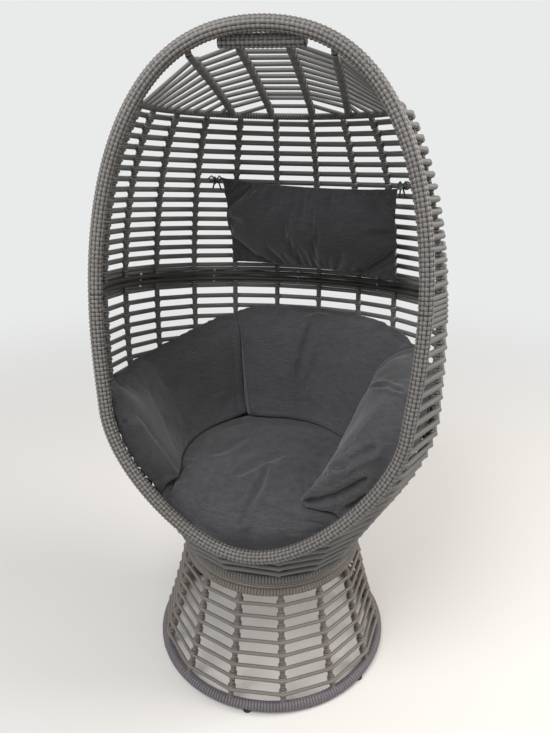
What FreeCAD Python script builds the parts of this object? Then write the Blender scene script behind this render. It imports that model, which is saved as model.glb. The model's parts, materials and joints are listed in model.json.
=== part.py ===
import FreeCAD, Part
import math
import os

# Standing egg chair. A woven egg-shaped pod with an open front turns on a woven drum base.
# Millimetres. +Z is up, the open front faces -Y, and +X is on the right of somebody who looks
# into the chair. Everything is worked out round the axis that the pod turns about, and save()
# then moves it back, so that the finished origin is on the floor under the chair's middle.

V = FreeCAD.Vector
os.makedirs("parts", exist_ok=True)

# Clearances
seam_gap = 0.3          # between pieces that are welded, pressed or laid against each other
strand_gap = 0.6        # between a woven strand and the frame that it passes
soft_gap = 0.6          # between a cushion and what it rests on
side_gap = 2.5          # between the seat and the ribs beside it
back_gap = 1.9          # between a wall cushion and the ribs behind it
bolt_gap = 0.3          # around a bolt in its hole
ball_gap = 0.1          # around a ball in its track
pin_gap = 0.05          # around the centre pin in its bush

# Drum base
glide_stand = 3.0       # how far the glides hold the wrapped foot ring off the floor
glide_height = 7.0
glide_radius = 12.0
glide_count = 6
glide_screw_radius = 2.0
glide_screw_head_radius = 4.0
glide_screw_head_height = 2.5
glide_screw_length = 16.0
foot_ring_radius = 300.0
foot_tube_radius = 10.0
wrap_thickness = 2.7    # woven skin round a tube
tube_wall = 1.5
base_ring_radius = 222.0
base_ring_height = 290.0    # from the foot ring's centre to the top ring's centre
base_tube_radius = 8.0
base_waist_slope = 0.18     # how fast the drum widens just under the top ring
base_flare_slope = 0.34     # how fast it widens just above the foot ring
base_rib_count = 14
base_rib_turn = 8.6         # degrees from the front's middle to the nearest rib, to the left
base_rib_radius = 5.0
base_course_count = 8
collar_strand_radius = 3.9          # close courses that stand on the top ring and hide the swivel
collar_count = 2
base_strand_radius = 4.5

# Swivel between the base and the pod
bar_side = 20.0
bar_wall = 1.5
bar_spacing = 140.0
plate_side = 190.0
plate_thickness = 3.0
bearing_height = 16.0
race_height = 6.0
race_inner_radius = 40.0
race_outer_radius = 60.0
ball_radius = 3.0
ball_count = 20
pin_radius = 6.0
pin_head_radius = 11.0
pin_head_height = 7.0
bush_wall = 3.0
bush_height = 6.0
washer_radius = 12.0
washer_height = 2.0
pin_nut_width = 19.0
pin_nut_height = 9.0
pin_thread_out = 2.0
plate_bolt_radius = 4.0
plate_bolt_head_width = 13.0
plate_bolt_head_height = 5.3
plate_nut_height = 6.0
plate_bolt_length = 14.0

# The egg. A level is the height at which a hoop's plane crosses the turning axis. Each hoop is
# a circle round that axis, tipped so that its front is higher than its back.
pod_ring_radius = 225.0
pod_tube_radius = 9.0
bowl_height = 378.0         # from the bottom ring up to the widest level
belly_radius = 400.0
bowl_slope = 0.48           # how fast the bowl widens just above the bottom ring
mid_above_belly = 258.0     # from the widest level up to the joint of the two halves
hood_above_mid = 402.0      # from that joint up to the hoop under the hood
pole_above_hood = 140.0     # from that hoop up to where the egg would close
egg_fullness = 2.53         # 2 would be an ellipse, more is squarer
bowl_tilt = 10.9            # degrees, a little above the widest level
bowl_tilt_rise = 43.0       # how far above the widest level that tilt is reached
mid_tilt = 9.4
hood_tilt = 5.9

# The rim lies in one plane that leans back over the sitter.
rim_front = 204.0           # the plane's distance in front of the axis
rim_front_rise = 174.0      # and how far above the widest level that is measured
rim_lean = 9.1
rim_tube_radius = 12.5
spigot_length = 80.0

# Rods and hoops of the pod's frame
rib_radius = 5.0
rib_inset = 8.0             # from the egg's surface in to a rib's centre
rib_spacing = 18.4          # degrees between neighbouring ribs
rib_count = 6               # ribs on each side of the back's middle
front_rib_bearings = (122.0, 143.0, 164.5)   # bowl ribs under the rim, each side
hoop_radius = 6.0
hoop_inset = 9.0
half_joint_gap = 3.0        # between the hoops of the two halves
joint_bolt_bearings = (0.0, 36.8, -36.8, 73.6, -73.6)
joint_bolt_radius = 2.5
joint_bolt_head_width = 8.0
joint_bolt_head_height = 3.5
joint_nut_height = 4.0
joint_bolt_out = 1.5

# The hood closes the egg over the head. Its ribs run from the hoop at the back forward to the
# rim, side by side, and its strands arch over them from side to side.
hood_rib_offsets = (50.0, 140.0)    # from the middle to each side
hood_drop = 20.0                    # how far under the rim's centre line the hood meets it
hood_drop_end = 250.0               # where, to the side, that drop has faded out
hood_bulge = 8.0                    # how far the hood swells above straight ribs
hood_first_y = 232.0                # the rearmost strand, behind the axis
hood_last_y = -45.0                 # the foremost strand
hood_strand_radius = 4.5
hood_settle = 6                     # how late, toward its ends, a strand comes down
crown_tube_radius = 9.5
crown_bar_drop = 27.0       # from where the egg would close down to the bar
crown_bar_back = 28.0               # how far the bar's middle stands behind the rim's plane
crown_bar_half = 170.0              # from its middle to where it would cross the rim's plane

# Woven strands
strand_radius = 5.5
strand_out = 3.1            # from the egg's surface out to a strand's centre
band_strand_count = 6       # close strands over the joint of the two halves
band_pitch = 11.7
bowl_course_count = 21
wall_course_count = 15
hood_strand_count = 11

# Cushions
seat_thickness = 186.0
seat_seam_drop = 56.0       # from the seat's crown down to its upper seam
seat_foot_share = 0.86      # the seat's underside, as a share of the bowl's width there
cushion_edge = 0.75         # an end of a wall cushion, as a share of its full thickness
cushion_end_height = 0.93   # and of its full height
cushion_heel = 15.0         # from the seat's seam up to a wall cushion's lower edge at the ribs
cushion_heel_slope = -50.0  # degrees, how its underside comes down to that edge
cushion_sole = 0.8          # its flat underside, as a share of its thickness
cushion_seams = (-27.5, 62.5)       # bearings at which the wall cushions meet
cushion_seam_half = 0.08    # half of the gap there, in degrees
# A wall cushion's tops, over the seat's crown: at its left end, its middle and its right end
left_tops = (245.0, 223.0, 295.0)
back_tops = (298.0, 294.0, 288.0)
right_tops = (284.0, 262.0, 150.0)
# and its thickness, low and high
left_thickness = (98.0, 80.0)
back_thickness = (136.0, 88.0)
right_thickness = (196.0, 150.0)
left_end = -124.0           # the bearing of the left cushion's free end, behind the rim
right_end = 127.0           # and of the right one's
right_end_turn = -37.0      # how far the right one's free end turns, to lie along the rim
pillow_width = 450.0
pillow_height = 230.0
pillow_thickness = 92.0
pillow_edge = 16.0
pillow_waist = 0.93         # the pillow's height at mid width, as a share of its height at the ears
pillow_across = 46.0        # from the axis to the pillow's middle, to the right
pillow_back = 206.0         # and to the back
pillow_rise = 110.0         # and above the joint of the two halves
pillow_turn = 14.6          # degrees that it is turned toward the right side
pillow_lean = 12.0          # degrees that its top leans forward
tie_radius = 1.6
tie_slack = 0.5             # round the strand that a tie is looped over

# Heights and radii that follow from the sizes above
foot_wrap_radius = foot_tube_radius + seam_gap + wrap_thickness
base_wrap_radius = base_tube_radius + seam_gap + wrap_thickness
pod_wrap_radius = pod_tube_radius + seam_gap + wrap_thickness
rim_wrap_radius = rim_tube_radius + seam_gap + wrap_thickness
crown_wrap_radius = crown_tube_radius + seam_gap + wrap_thickness
foot_ring_z = glide_stand + foot_wrap_radius
base_ring_z = foot_ring_z + base_ring_height
base_bar_top = base_ring_z + bar_side / 2
base_plate_top = base_bar_top + plate_thickness
pod_plate_bottom = base_plate_top + bearing_height
pod_plate_top = pod_plate_bottom + plate_thickness
pod_bar_top = pod_plate_top + bar_side
pod_ring_z = pod_plate_top + bar_side / 2
belly_z = pod_ring_z + bowl_height
mid_z = belly_z + mid_above_belly
hood_z = mid_z + hood_above_mid
pole_z = hood_z + pole_above_hood
rim_front_z = belly_z + rim_front_rise
crown_bar_z = pole_z - crown_bar_drop
pillow_up = mid_z + pillow_rise
hoop_step = hoop_radius + half_joint_gap / 2


def save(name, solids):
    shape = solids[0] if len(solids) == 1 else Part.makeCompound(solids)
    shape = shape.copy()
    shape.translate(V(0, axis_y, 0))
    shape.exportStep("parts/" + name + ".step")
    print(name, len(solids), "solids", round(shape.Volume), "mm3", "valid", shape.isValid())


# Curves made of arcs

def turned(direction, degrees):
    angle = math.radians(degrees)
    c, s = math.cos(angle), math.sin(angle)
    return (direction[0] * c - direction[1] * s, direction[0] * s + direction[1] * c)


def dot(a, b):
    return a[0] * b[0] + a[1] * b[1]


def minus(a, b):
    return (a[0] - b[0], a[1] - b[1])


def arc_edge(start, heading, end, place):
    """One arc from start to end that leaves start along heading."""
    chord = minus(end, start)
    side = turned(heading, 90)
    lift = dot(chord, side)
    if abs(lift) < 1e-4 * math.hypot(*chord):
        return Part.LineSegment(place(start), place(end)).toShape()
    radius = dot(chord, chord) / (2 * lift)
    centre = (start[0] + side[0] * radius, start[1] + side[1] * radius)
    half_turn = math.degrees(math.atan2(lift, dot(chord, heading)))
    spoke = turned(minus(start, centre), half_turn)
    middle = (centre[0] + spoke[0], centre[1] + spoke[1])
    return Part.Arc(place(start), place(middle), place(end)).toShape()


def smooth_edges(points, headings, place):
    """Tangent arcs through the points: two arcs join each pair."""
    edges = []
    for i in range(len(points) - 1):
        start, end = points[i], points[i + 1]
        leave, arrive = headings[i], headings[i + 1]
        chord = minus(end, start)
        both = (leave[0] + arrive[0], leave[1] + arrive[1])
        bend = 2 * (1 - dot(leave, arrive))
        along = dot(chord, both)
        if bend < 1e-9:
            reach = dot(chord, chord) / (2 * along)
        else:
            reach = (-along + math.sqrt(along * along + bend * dot(chord, chord))) / bend
        joint = ((start[0] + end[0] + reach * (leave[0] - arrive[0])) / 2,
                 (start[1] + end[1] + reach * (leave[1] - arrive[1])) / 2)
        edges.append(arc_edge(start, leave, joint, place))
        back = (-arrive[0], -arrive[1])
        edges.append(arc_edge(end, back, joint, place))
        edges[-1] = reversed_edge(edges[-1])
    return edges


def reversed_edge(edge):
    first, last = edge.ParameterRange
    middle = edge.valueAt((first + last) / 2)
    start, end = edge.valueAt(first), edge.valueAt(last)
    if isinstance(edge.Curve, Part.Line):
        return Part.LineSegment(end, start).toShape()
    return Part.Arc(end, middle, start).toShape()


def curve_edges(at, start, end, pieces, place, step=0.5):
    """Arcs along the plane curve at(t) between two values of t."""
    points, headings = [], []
    for i in range(pieces + 1):
        t = start + (end - start) * i / pieces
        ahead = minus(at(t + step), at(t - step))
        if end < start:
            ahead = (-ahead[0], -ahead[1])
        length = math.hypot(*ahead)
        points.append(at(t))
        headings.append((ahead[0] / length, ahead[1] / length))
    return smooth_edges(points, headings, place)


def tube(edges, radius):
    first = edges[0]
    start = first.valueAt(first.ParameterRange[0])
    heading = first.tangentAt(first.ParameterRange[0])
    profile = Part.Wire(Part.makeCircle(radius, start, heading))
    return Part.Wire(edges).makePipeShell([profile], True, False)


def hollow_tube(edges, outer, inner):
    return tube(edges, outer).cut(tube(edges, inner))


def hollow_ring(ring_radius, z, outer, inner):
    centre = V(0, 0, z)
    up = V(0, 0, 1)
    return Part.makeTorus(ring_radius, outer, centre, up).cut(Part.makeTorus(ring_radius, inner, centre, up))


def hexagon(width, height, base, axis):
    """A hexagonal prism of the given width across flats, standing on base along axis."""
    across = V(1, 0, 0) if abs(axis.x) < 0.9 else V(0, 1, 0)
    side = axis.cross(across)
    side.normalize()
    other = axis.cross(side)
    corner = width / math.sqrt(3)
    corners = []
    for i in range(7):
        angle = math.radians(60 * i)
        corners.append(base + side * (corner * math.cos(angle)) + other * (corner * math.sin(angle)))
    return Part.Face(Part.makePolygon(corners)).extrude(axis * height)


# The egg's surface

def radius_at(level):
    if level > belly_z:
        share = min((level - belly_z) / (pole_z - belly_z), 0.9999)
        return belly_radius * (1 - share ** egg_fullness) ** (1 / egg_fullness)
    u = (level - pod_ring_z) / bowl_height
    start = pod_ring_radius * (1 - 3 * u ** 2 + 2 * u ** 3)
    slope = bowl_slope * bowl_height * (u - 2 * u ** 2 + u ** 3)
    return start + slope + belly_radius * (3 * u ** 2 - 2 * u ** 3)


def tilt_at(level):
    """A hoop's tilt in radians: none at the bottom ring, most a little above the belly."""
    marks = ((pod_ring_z, 0.0), (belly_z + bowl_tilt_rise, bowl_tilt),
             (mid_z, mid_tilt), (hood_z, hood_tilt))
    if level <= pod_ring_z:
        return 0.0
    for (low, low_tilt), (high, high_tilt) in zip(marks, marks[1:]):
        if level <= high:
            return math.radians(low_tilt + (high_tilt - low_tilt) * (level - low) / (high - low))
    return math.radians(hood_tilt)


def hoop_circle(level, out):
    """Where a hoop lies that is out mm outside the egg, square to its surface: level and radius."""
    slope = radius_at(level + 0.5) - radius_at(level - 0.5)
    share = out / math.hypot(1, slope)
    return level - share * slope, radius_at(level) + share


def shell_point(level, bearing, out=0.0):
    """A point of the egg, out mm outside it. The bearing is in degrees from the back, +X positive."""
    tilt = tilt_at(level)
    height, radius = hoop_circle(level, out)
    side = math.sin(math.radians(bearing))
    back = math.cos(math.radians(bearing))
    return V(radius * side, radius * back * math.cos(tilt), height - radius * back * math.sin(tilt))


def rim_y(z):
    """How far back the rim's plane is at height z."""
    return -rim_front + (z - rim_front_z) * math.tan(math.radians(rim_lean))


def rim_reach(level):
    """How far along a hoop's own plane the rim's plane is, measured from the axis to the back."""
    tilt = tilt_at(level)
    return rim_y(level) / (math.cos(tilt) + math.sin(tilt) * math.tan(math.radians(rim_lean)))


def rim_bearing(level):
    """The bearing at which the hoop of this level meets the rim, or 180 if it passes under it."""
    share = rim_reach(level) / radius_at(level)
    return 180.0 if share <= -1 else math.degrees(math.acos(share))


def bisect(clear, blocked, is_clear, steps=18):
    """The last value on the clear side, between a clear value and a blocked one."""
    for _ in range(steps):
        middle = (clear + blocked) / 2
        if is_clear(middle):
            clear = middle
        else:
            blocked = middle
    return clear


def rim_flat(level):
    """The rim's right side in its own plane: distance from the middle, and height up the plane."""
    point = shell_point(level, rim_bearing(level))
    return (point.x, (point.z - rim_front_z) / math.cos(math.radians(rim_lean)))


def rim_place(flat):
    lean = math.radians(rim_lean)
    return V(flat[0], -rim_front + flat[1] * math.sin(lean), rim_front_z + flat[1] * math.cos(lean))


def meets_rim(level):
    return radius_at(level) >= -rim_reach(level)


rim_low_level = bisect(belly_z, pod_ring_z, meets_rim, 40)
rim_high_level = bisect(belly_z, pole_z, meets_rim, 40)

# The right half of the rim's centre line, bottom to top, with its length so far
rim_steps = 400
rim_points = []
rim_levels = []
for i in range(rim_steps + 1):
    share = (1 - math.cos(math.pi * i / rim_steps)) / 2
    rim_levels.append(rim_low_level + (rim_high_level - rim_low_level) * share)
    rim_points.append(rim_flat(rim_levels[-1]))
rim_points[0] = (0.0, rim_points[0][1])
rim_points[-1] = (0.0, rim_points[-1][1])
rim_lengths = [0.0]
for one, two in zip(rim_points, rim_points[1:]):
    rim_lengths.append(rim_lengths[-1] + math.hypot(*minus(two, one)))
rim_half_length = rim_lengths[-1]


def between(value, marks, results):
    """Linear interpolation in a rising list of marks."""
    low, high = 0, len(marks) - 1
    while high - low > 1:
        middle = (low + high) // 2
        if marks[middle] <= value:
            low = middle
        else:
            high = middle
    share = (value - marks[low]) / (marks[high] - marks[low])
    return tuple(a + (b - a) * share for a, b in zip(results[low], results[high]))


def rim_at(length):
    """The rim's centre line by its length from the bottom, clockwise up the right side and round."""
    length = (length + rim_half_length) % (2 * rim_half_length) - rim_half_length
    x, up = between(abs(length), rim_lengths, rim_points)
    return (math.copysign(x, length), up)


def rim_level_length(level):
    return between(level, rim_levels, [(length,) for length in rim_lengths])[0]


# Every fourth point of the centre line, both sides, to measure distances from
rim_trace = [rim_place(p) for p in rim_points[::4]]
rim_trace += [V(-p.x, p.y, p.z) for p in reversed(rim_trace)]


def rim_distance(point):
    best = 1e9
    for start, end in zip(rim_trace, rim_trace[1:]):
        run = end - start
        length2 = run.dot(run)
        share = 0.0 if length2 == 0 else max(0.0, min(1.0, (point - start).dot(run) / length2))
        best = min(best, (point - start - run * share).Length)
    return best


def disc_rim(centre, heading, radius):
    """Eight points round the end of a round rod."""
    across = V(0, 0, 1) if abs(heading.z) < 0.9 else V(0, 1, 0)
    side = heading.cross(across)
    side.normalize()
    other = heading.cross(side)
    other.normalize()
    points = []
    for i in range(8):
        angle = math.radians(45 * i)
        points.append(centre + side * (radius * math.cos(angle)) + other * (radius * math.sin(angle)))
    return points


# Hoops and woven courses

def hoop_axis(level):
    tilt = tilt_at(level)
    return V(0, math.sin(tilt), math.cos(tilt))


def hoop_heading(level, bearing):
    side = math.sin(math.radians(bearing))
    back = math.cos(math.radians(bearing))
    tilt = tilt_at(level)
    return V(back, -side * math.cos(tilt), side * math.sin(tilt))


def end_bearing(level, out, wire_radius, gap):
    """How far round a hoop runs on each side before its end meets the wrapped rim."""
    keep = rim_wrap_radius + gap

    def is_clear(bearing):
        end = disc_rim(shell_point(level, bearing, out), hoop_heading(level, bearing), wire_radius)
        return min(rim_distance(p) for p in end) >= keep

    limit = rim_bearing(level)
    if limit == 180.0 and rim_distance(shell_point(level, 180.0, out)) >= keep + wire_radius:
        return 180.0
    return bisect(60.0, limit, is_clear)


def hoop(level, out, wire_radius, gap):
    """A round rod along the hoop of this level, from rim to rim at the back, or all the way round."""
    reach = end_bearing(level, out, wire_radius, gap)
    height, radius = hoop_circle(level, out)
    centre = V(0, 0, height)
    if reach == 180.0:
        return Part.makeTorus(radius, wire_radius, centre, hoop_axis(level))
    start = shell_point(level, reach, out)
    disc = Part.Face(Part.Wire(Part.makeCircle(wire_radius, start, hoop_heading(level, reach))))
    return disc.revolve(centre, hoop_axis(level), 2 * reach)


def even_levels(low, high, count, bearing=90.0):
    """Levels between two others, evenly spaced along the egg's surface, without the two ends."""
    steps = 200
    levels = [low + (high - low) * i / steps for i in range(steps + 1)]
    lengths = [0.0]
    for one, two in zip(levels, levels[1:]):
        lengths.append(lengths[-1] + math.hypot(two - one, radius_at(two) - radius_at(one)))
    found = []
    for i in range(count):
        wanted = lengths[-1] * (i + 1) / (count + 1)
        found.append(between(wanted, lengths, [(level,) for level in levels])[0])
    return found


# Ribs: each lies in an upright plane through the turning axis

def rib_bearing(level, plane_bearing):
    angle = math.radians(plane_bearing)
    return math.degrees(math.atan2(math.sin(angle) * math.cos(tilt_at(level)), math.cos(angle)))


def rib_flat(level, plane_bearing, out):
    point = shell_point(level, rib_bearing(level, plane_bearing), out)
    return (math.hypot(point.x, point.y), point.z)


def upright_place(plane_bearing):
    angle = math.radians(plane_bearing)
    return lambda flat: V(flat[0] * math.sin(angle), flat[0] * math.cos(angle), flat[1])


def hoop_distance(point, level, out):
    """How far a point is from the centre line of a hoop."""
    height, radius = hoop_circle(level, out)
    axis = hoop_axis(level)
    arm = point - V(0, 0, height)
    rise = arm.dot(axis)
    return math.hypot((arm - axis * rise).Length - radius, rise)


def rib(plane_bearing, low, high, low_clear, high_clear, pieces):
    """A rod between two levels, cut back at both ends until its ends are clear."""
    place = upright_place(plane_bearing)
    middle = (low + high) / 2

    def clear_of(test):
        def is_clear(level):
            here = rib_flat(level, plane_bearing, -rib_inset)
            ahead = minus(rib_flat(level + 0.5, plane_bearing, -rib_inset), here)
            heading = place(ahead)
            heading.normalize()
            return all(test(p) for p in disc_rim(place(here), heading, rib_radius))
        return is_clear

    bottom = bisect(middle, low, clear_of(low_clear))
    top = bisect(middle, high, clear_of(high_clear))
    edges = curve_edges(lambda level: rib_flat(level, plane_bearing, -rib_inset), bottom, top, pieces, place)
    return tube(edges, rib_radius)


def clear_of_rim(point):
    return rim_distance(point) >= rim_wrap_radius + seam_gap


def clear_of_hoop(level, out, wire_radius):
    return lambda point: hoop_distance(point, level, out) >= wire_radius + seam_gap


def rim_level_at(plane_bearing):
    """The level at which the egg passes through the rim's plane, for a bowl rib under the rim."""
    def is_behind(level):
        return rib_bearing(level, plane_bearing) <= rim_bearing(level) - 0.01
    return bisect(pod_ring_z, belly_z, is_behind)


# The turning axis, from the middle of the chair's depth: the egg reaches further back than the
# foot ring reaches forward.
back_reach = shell_point(belly_z, 0, strand_out + strand_radius).y
axis_y = (foot_ring_radius + foot_wrap_radius - back_reach) / 2

# The base

centre_up = V(0, 0, 1)
foot_wrap = hollow_ring(foot_ring_radius, foot_ring_z, foot_wrap_radius, foot_tube_radius + seam_gap)
foot_tube = hollow_ring(foot_ring_radius, foot_ring_z, foot_tube_radius, foot_tube_radius - tube_wall)
glides, glide_screws = [], []
screw_recess = glide_screw_head_height + seam_gap
for i in range(glide_count):
    angle = math.radians(-90 + 360 * i / glide_count)
    spot = V(foot_ring_radius * math.cos(angle), foot_ring_radius * math.sin(angle), 0)
    hole_depth = glide_screw_length + screw_recess
    hole = Part.makeCylinder(glide_screw_radius + bolt_gap, hole_depth, spot, centre_up)
    recess = Part.makeCylinder(glide_screw_head_radius + bolt_gap, screw_recess, spot, centre_up)
    seat = Part.makeTorus(foot_ring_radius, foot_wrap_radius + seam_gap, V(0, 0, foot_ring_z), centre_up)
    block = Part.makeCylinder(glide_radius, glide_height, spot, centre_up)
    glides.append(block.cut(seat).cut(hole).cut(recess))
    foot_wrap = foot_wrap.cut(hole)
    foot_tube = foot_tube.cut(hole)
    head_base = spot + V(0, 0, seam_gap)
    screw_head = Part.makeCylinder(glide_screw_head_radius, glide_screw_head_height, head_base, centre_up)
    shank = Part.makeCylinder(glide_screw_radius, glide_screw_length, head_base, centre_up)
    glide_screws.append(screw_head.fuse(shank).removeSplitter())
save("foot_glides", glides)
save("glide_screws", glide_screws)
save("foot_ring_wrap", [foot_wrap])
save("foot_ring_tube", [foot_tube])
base_wrap_bore = base_tube_radius + seam_gap
save("base_ring_wrap", [hollow_ring(base_ring_radius, base_ring_z, base_wrap_radius, base_wrap_bore)])
base_bore = base_tube_radius - tube_wall
save("base_ring_tube", [hollow_ring(base_ring_radius, base_ring_z, base_tube_radius, base_bore)])


def drum_radius(z):
    """The drum's radius at height z: almost upright at the waist, flared at the foot."""
    u = (base_ring_z - z) / base_ring_height
    start = base_ring_radius * (1 - 3 * u ** 2 + 2 * u ** 3)
    waist = base_waist_slope * base_ring_height * (u - 2 * u ** 2 + u ** 3)
    flare = base_flare_slope * base_ring_height * (u ** 3 - u ** 2)
    return start + waist + flare + foot_ring_radius * (3 * u ** 2 - 2 * u ** 3)


def drum_flat(z):
    return (drum_radius(z), z)


def off_ring(ring_radius, ring_z, wrap_radius):
    """Whether a base rib that ends at height z is clear of a wrapped ring."""
    def is_clear(z):
        heading = V(drum_radius(z + 0.5) - drum_radius(z - 0.5), 0, 1)
        heading.normalize()
        end = disc_rim(V(drum_radius(z), 0, z), heading, base_rib_radius)
        near = min(math.hypot(math.hypot(p.x, p.y) - ring_radius, p.z - ring_z) for p in end)
        return near >= wrap_radius + seam_gap
    return is_clear


base_ribs = []
drum_middle = base_ring_z - base_ring_height / 2
rib_foot = bisect(drum_middle, foot_ring_z, off_ring(foot_ring_radius, foot_ring_z, foot_wrap_radius))
rib_head = bisect(drum_middle, base_ring_z, off_ring(base_ring_radius, base_ring_z, base_wrap_radius))
for i in range(base_rib_count):
    turn = base_rib_turn + 360 * i / base_rib_count
    edges = curve_edges(drum_flat, rib_foot, rib_head, 3, upright_place(turn))
    base_ribs.append(tube(edges, base_rib_radius))
save("base_ribs", base_ribs)

base_courses = []
course_out = base_rib_radius + strand_gap + base_strand_radius
for i in range(base_course_count):
    z = base_ring_z - base_ring_height * (i + 1) / (base_course_count + 1)
    slope = (drum_radius(z - 1) - drum_radius(z + 1)) / 2
    ring_radius = drum_radius(z) + course_out * math.hypot(1, slope)
    base_courses.append(Part.makeTorus(ring_radius, base_strand_radius, V(0, 0, z), centre_up))
for i in range(collar_count):
    z = base_ring_z + base_wrap_radius + (2 * i + 1) * collar_strand_radius + (i + 1) * seam_gap
    base_courses.append(Part.makeTorus(base_ring_radius, collar_strand_radius, V(0, 0, z), centre_up))
save("base_courses", base_courses)

# The swivel. Two bars cross each ring, and a plate is bolted to each pair.


def bars(along, bottom, ring_radius, wrap_radius, hole_z):
    """Two square tubes between the sides of a ring, with a bolt hole in one wall at each end."""
    made = []
    half = bar_spacing / 2
    reach = ring_radius - wrap_radius - seam_gap
    length = 2 * math.sqrt(reach ** 2 - (half + bar_side / 2) ** 2)
    inner = bar_side - 2 * bar_wall
    for side in (-1, 1):
        corner = V(side * half - bar_side / 2, -length / 2, bottom)
        inner_corner = corner + V(bar_wall, 0, bar_wall)
        outside = Part.makeBox(bar_side, length, bar_side, corner)
        inside = Part.makeBox(inner, length, inner, inner_corner)
        bar = outside.cut(inside)
        for end in (-1, 1):
            spot = V(side * half, end * half, hole_z)
            bar = bar.cut(Part.makeCylinder(plate_bolt_radius + bolt_gap, bar_wall, spot, centre_up))
        if along == "x":
            bar.rotate(V(0, 0, 0), centre_up, 90)
        made.append(bar)
    return made


def plate(bottom, centre_hole):
    flat = Part.makeBox(plate_side, plate_side, plate_thickness, V(-plate_side / 2, -plate_side / 2, bottom))
    corners = [e for e in flat.Edges if abs(e.tangentAt(e.FirstParameter).z) > 0.9]
    flat = flat.makeFillet(bar_side / 2, corners)
    flat = flat.cut(Part.makeCylinder(centre_hole, plate_thickness, V(0, 0, bottom), centre_up))
    for x in (-1, 1):
        for y in (-1, 1):
            spot = V(x * bar_spacing / 2, y * bar_spacing / 2, bottom)
            hole = Part.makeCylinder(plate_bolt_radius + bolt_gap, plate_thickness, spot, centre_up)
            flat = flat.cut(hole)
    return flat


def plate_bolts(head_z, direction):
    """Four bolts through a plate into a bar, and the nuts inside the bars."""
    bolts, nuts = [], []
    axis = V(0, 0, direction)
    nut_start = plate_thickness + bar_wall + seam_gap
    for x in (-1, 1):
        for y in (-1, 1):
            face = V(x * bar_spacing / 2, y * bar_spacing / 2, head_z)
            head = hexagon(plate_bolt_head_width, plate_bolt_head_height, face, -axis)
            shank = Part.makeCylinder(plate_bolt_radius, plate_bolt_length, face, axis)
            bolts.append(head.fuse(shank).removeSplitter())
            seat = face + axis * nut_start
            nut = hexagon(plate_bolt_head_width, plate_nut_height, seat, axis)
            bore = Part.makeCylinder(plate_bolt_radius + bolt_gap, plate_nut_height, seat, axis)
            nuts.append(nut.cut(bore))
    return bolts, nuts


base_bar_bottom = base_ring_z - bar_side / 2
base_bar_hole = base_bar_top - bar_wall
save("base_cross_bars", bars("x", base_bar_bottom, base_ring_radius, base_wrap_radius, base_bar_hole))
save("base_swivel_plate", [plate(base_bar_top, pin_radius + bolt_gap)])
base_bolts, base_nuts = plate_bolts(base_plate_top, -1)
save("base_plate_bolts", base_bolts)
save("base_plate_nuts", base_nuts)

save("pod_cross_bars", bars("y", pod_plate_top, pod_ring_radius, pod_wrap_radius, pod_plate_top))
bush_radius = pin_radius + pin_gap + bush_wall
save("pod_swivel_plate", [plate(pod_plate_bottom, bush_radius + seam_gap)])
pod_bolts, pod_nuts = plate_bolts(pod_plate_bottom, 1)
save("pod_plate_bolts", pod_bolts)
save("pod_plate_nuts", pod_nuts)

ball_ring_radius = (race_inner_radius + race_outer_radius) / 2
ball_z = (base_plate_top + pod_plate_bottom) / 2
track = Part.makeTorus(ball_ring_radius, ball_radius + ball_gap, V(0, 0, ball_z), centre_up)


def race(bottom):
    outside = Part.makeCylinder(race_outer_radius, race_height, V(0, 0, bottom), centre_up)
    inside = Part.makeCylinder(race_inner_radius, race_height, V(0, 0, bottom), centre_up)
    return outside.cut(inside).cut(track)


save("lower_race", [race(base_plate_top)])
save("upper_race", [race(pod_plate_bottom - race_height)])
balls = []
for i in range(ball_count):
    angle = 2 * math.pi * i / ball_count
    balls.append(Part.makeSphere(ball_radius, V(ball_ring_radius * math.cos(angle),
                                                ball_ring_radius * math.sin(angle), ball_z)))
save("bearing_balls", balls)

bush_bottom = pod_plate_top - bush_height
pin_bush = Part.makeCylinder(bush_radius, bush_height, V(0, 0, bush_bottom), centre_up)
pin_bore = Part.makeCylinder(pin_radius + pin_gap, bush_height, V(0, 0, bush_bottom), centre_up)
save("pin_bush", [pin_bush.cut(pin_bore)])
washer_bottom = pod_plate_top + seam_gap
nut_bottom = washer_bottom + washer_height + seam_gap
pin_top = nut_bottom + pin_nut_height + pin_thread_out
pin = Part.makeCylinder(pin_radius, pin_top - base_bar_top, V(0, 0, base_bar_top), centre_up)
pin_head_bottom = V(0, 0, base_bar_top - pin_head_height)
pin_head = Part.makeCylinder(pin_head_radius, pin_head_height, pin_head_bottom, centre_up)
save("centre_pin", [pin.fuse(pin_head).removeSplitter()])
washer_spot = V(0, 0, washer_bottom)
washer = Part.makeCylinder(washer_radius, washer_height, washer_spot, centre_up)
washer_bore = Part.makeCylinder(pin_radius + bolt_gap, washer_height, washer_spot, centre_up)
save("pin_washer", [washer.cut(washer_bore)])
nut_bore = Part.makeCylinder(pin_radius + pin_gap, pin_nut_height, V(0, 0, nut_bottom), centre_up)
save("pin_nut", [hexagon(pin_nut_width, pin_nut_height, V(0, 0, nut_bottom), centre_up).cut(nut_bore)])

# The pod's rings and rim

pod_wrap_bore = pod_tube_radius + seam_gap
save("pod_ring_wrap", [hollow_ring(pod_ring_radius, pod_ring_z, pod_wrap_radius, pod_wrap_bore)])
pod_bore = pod_tube_radius - tube_wall
save("pod_ring_tube", [hollow_ring(pod_ring_radius, pod_ring_z, pod_tube_radius, pod_bore)])

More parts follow.
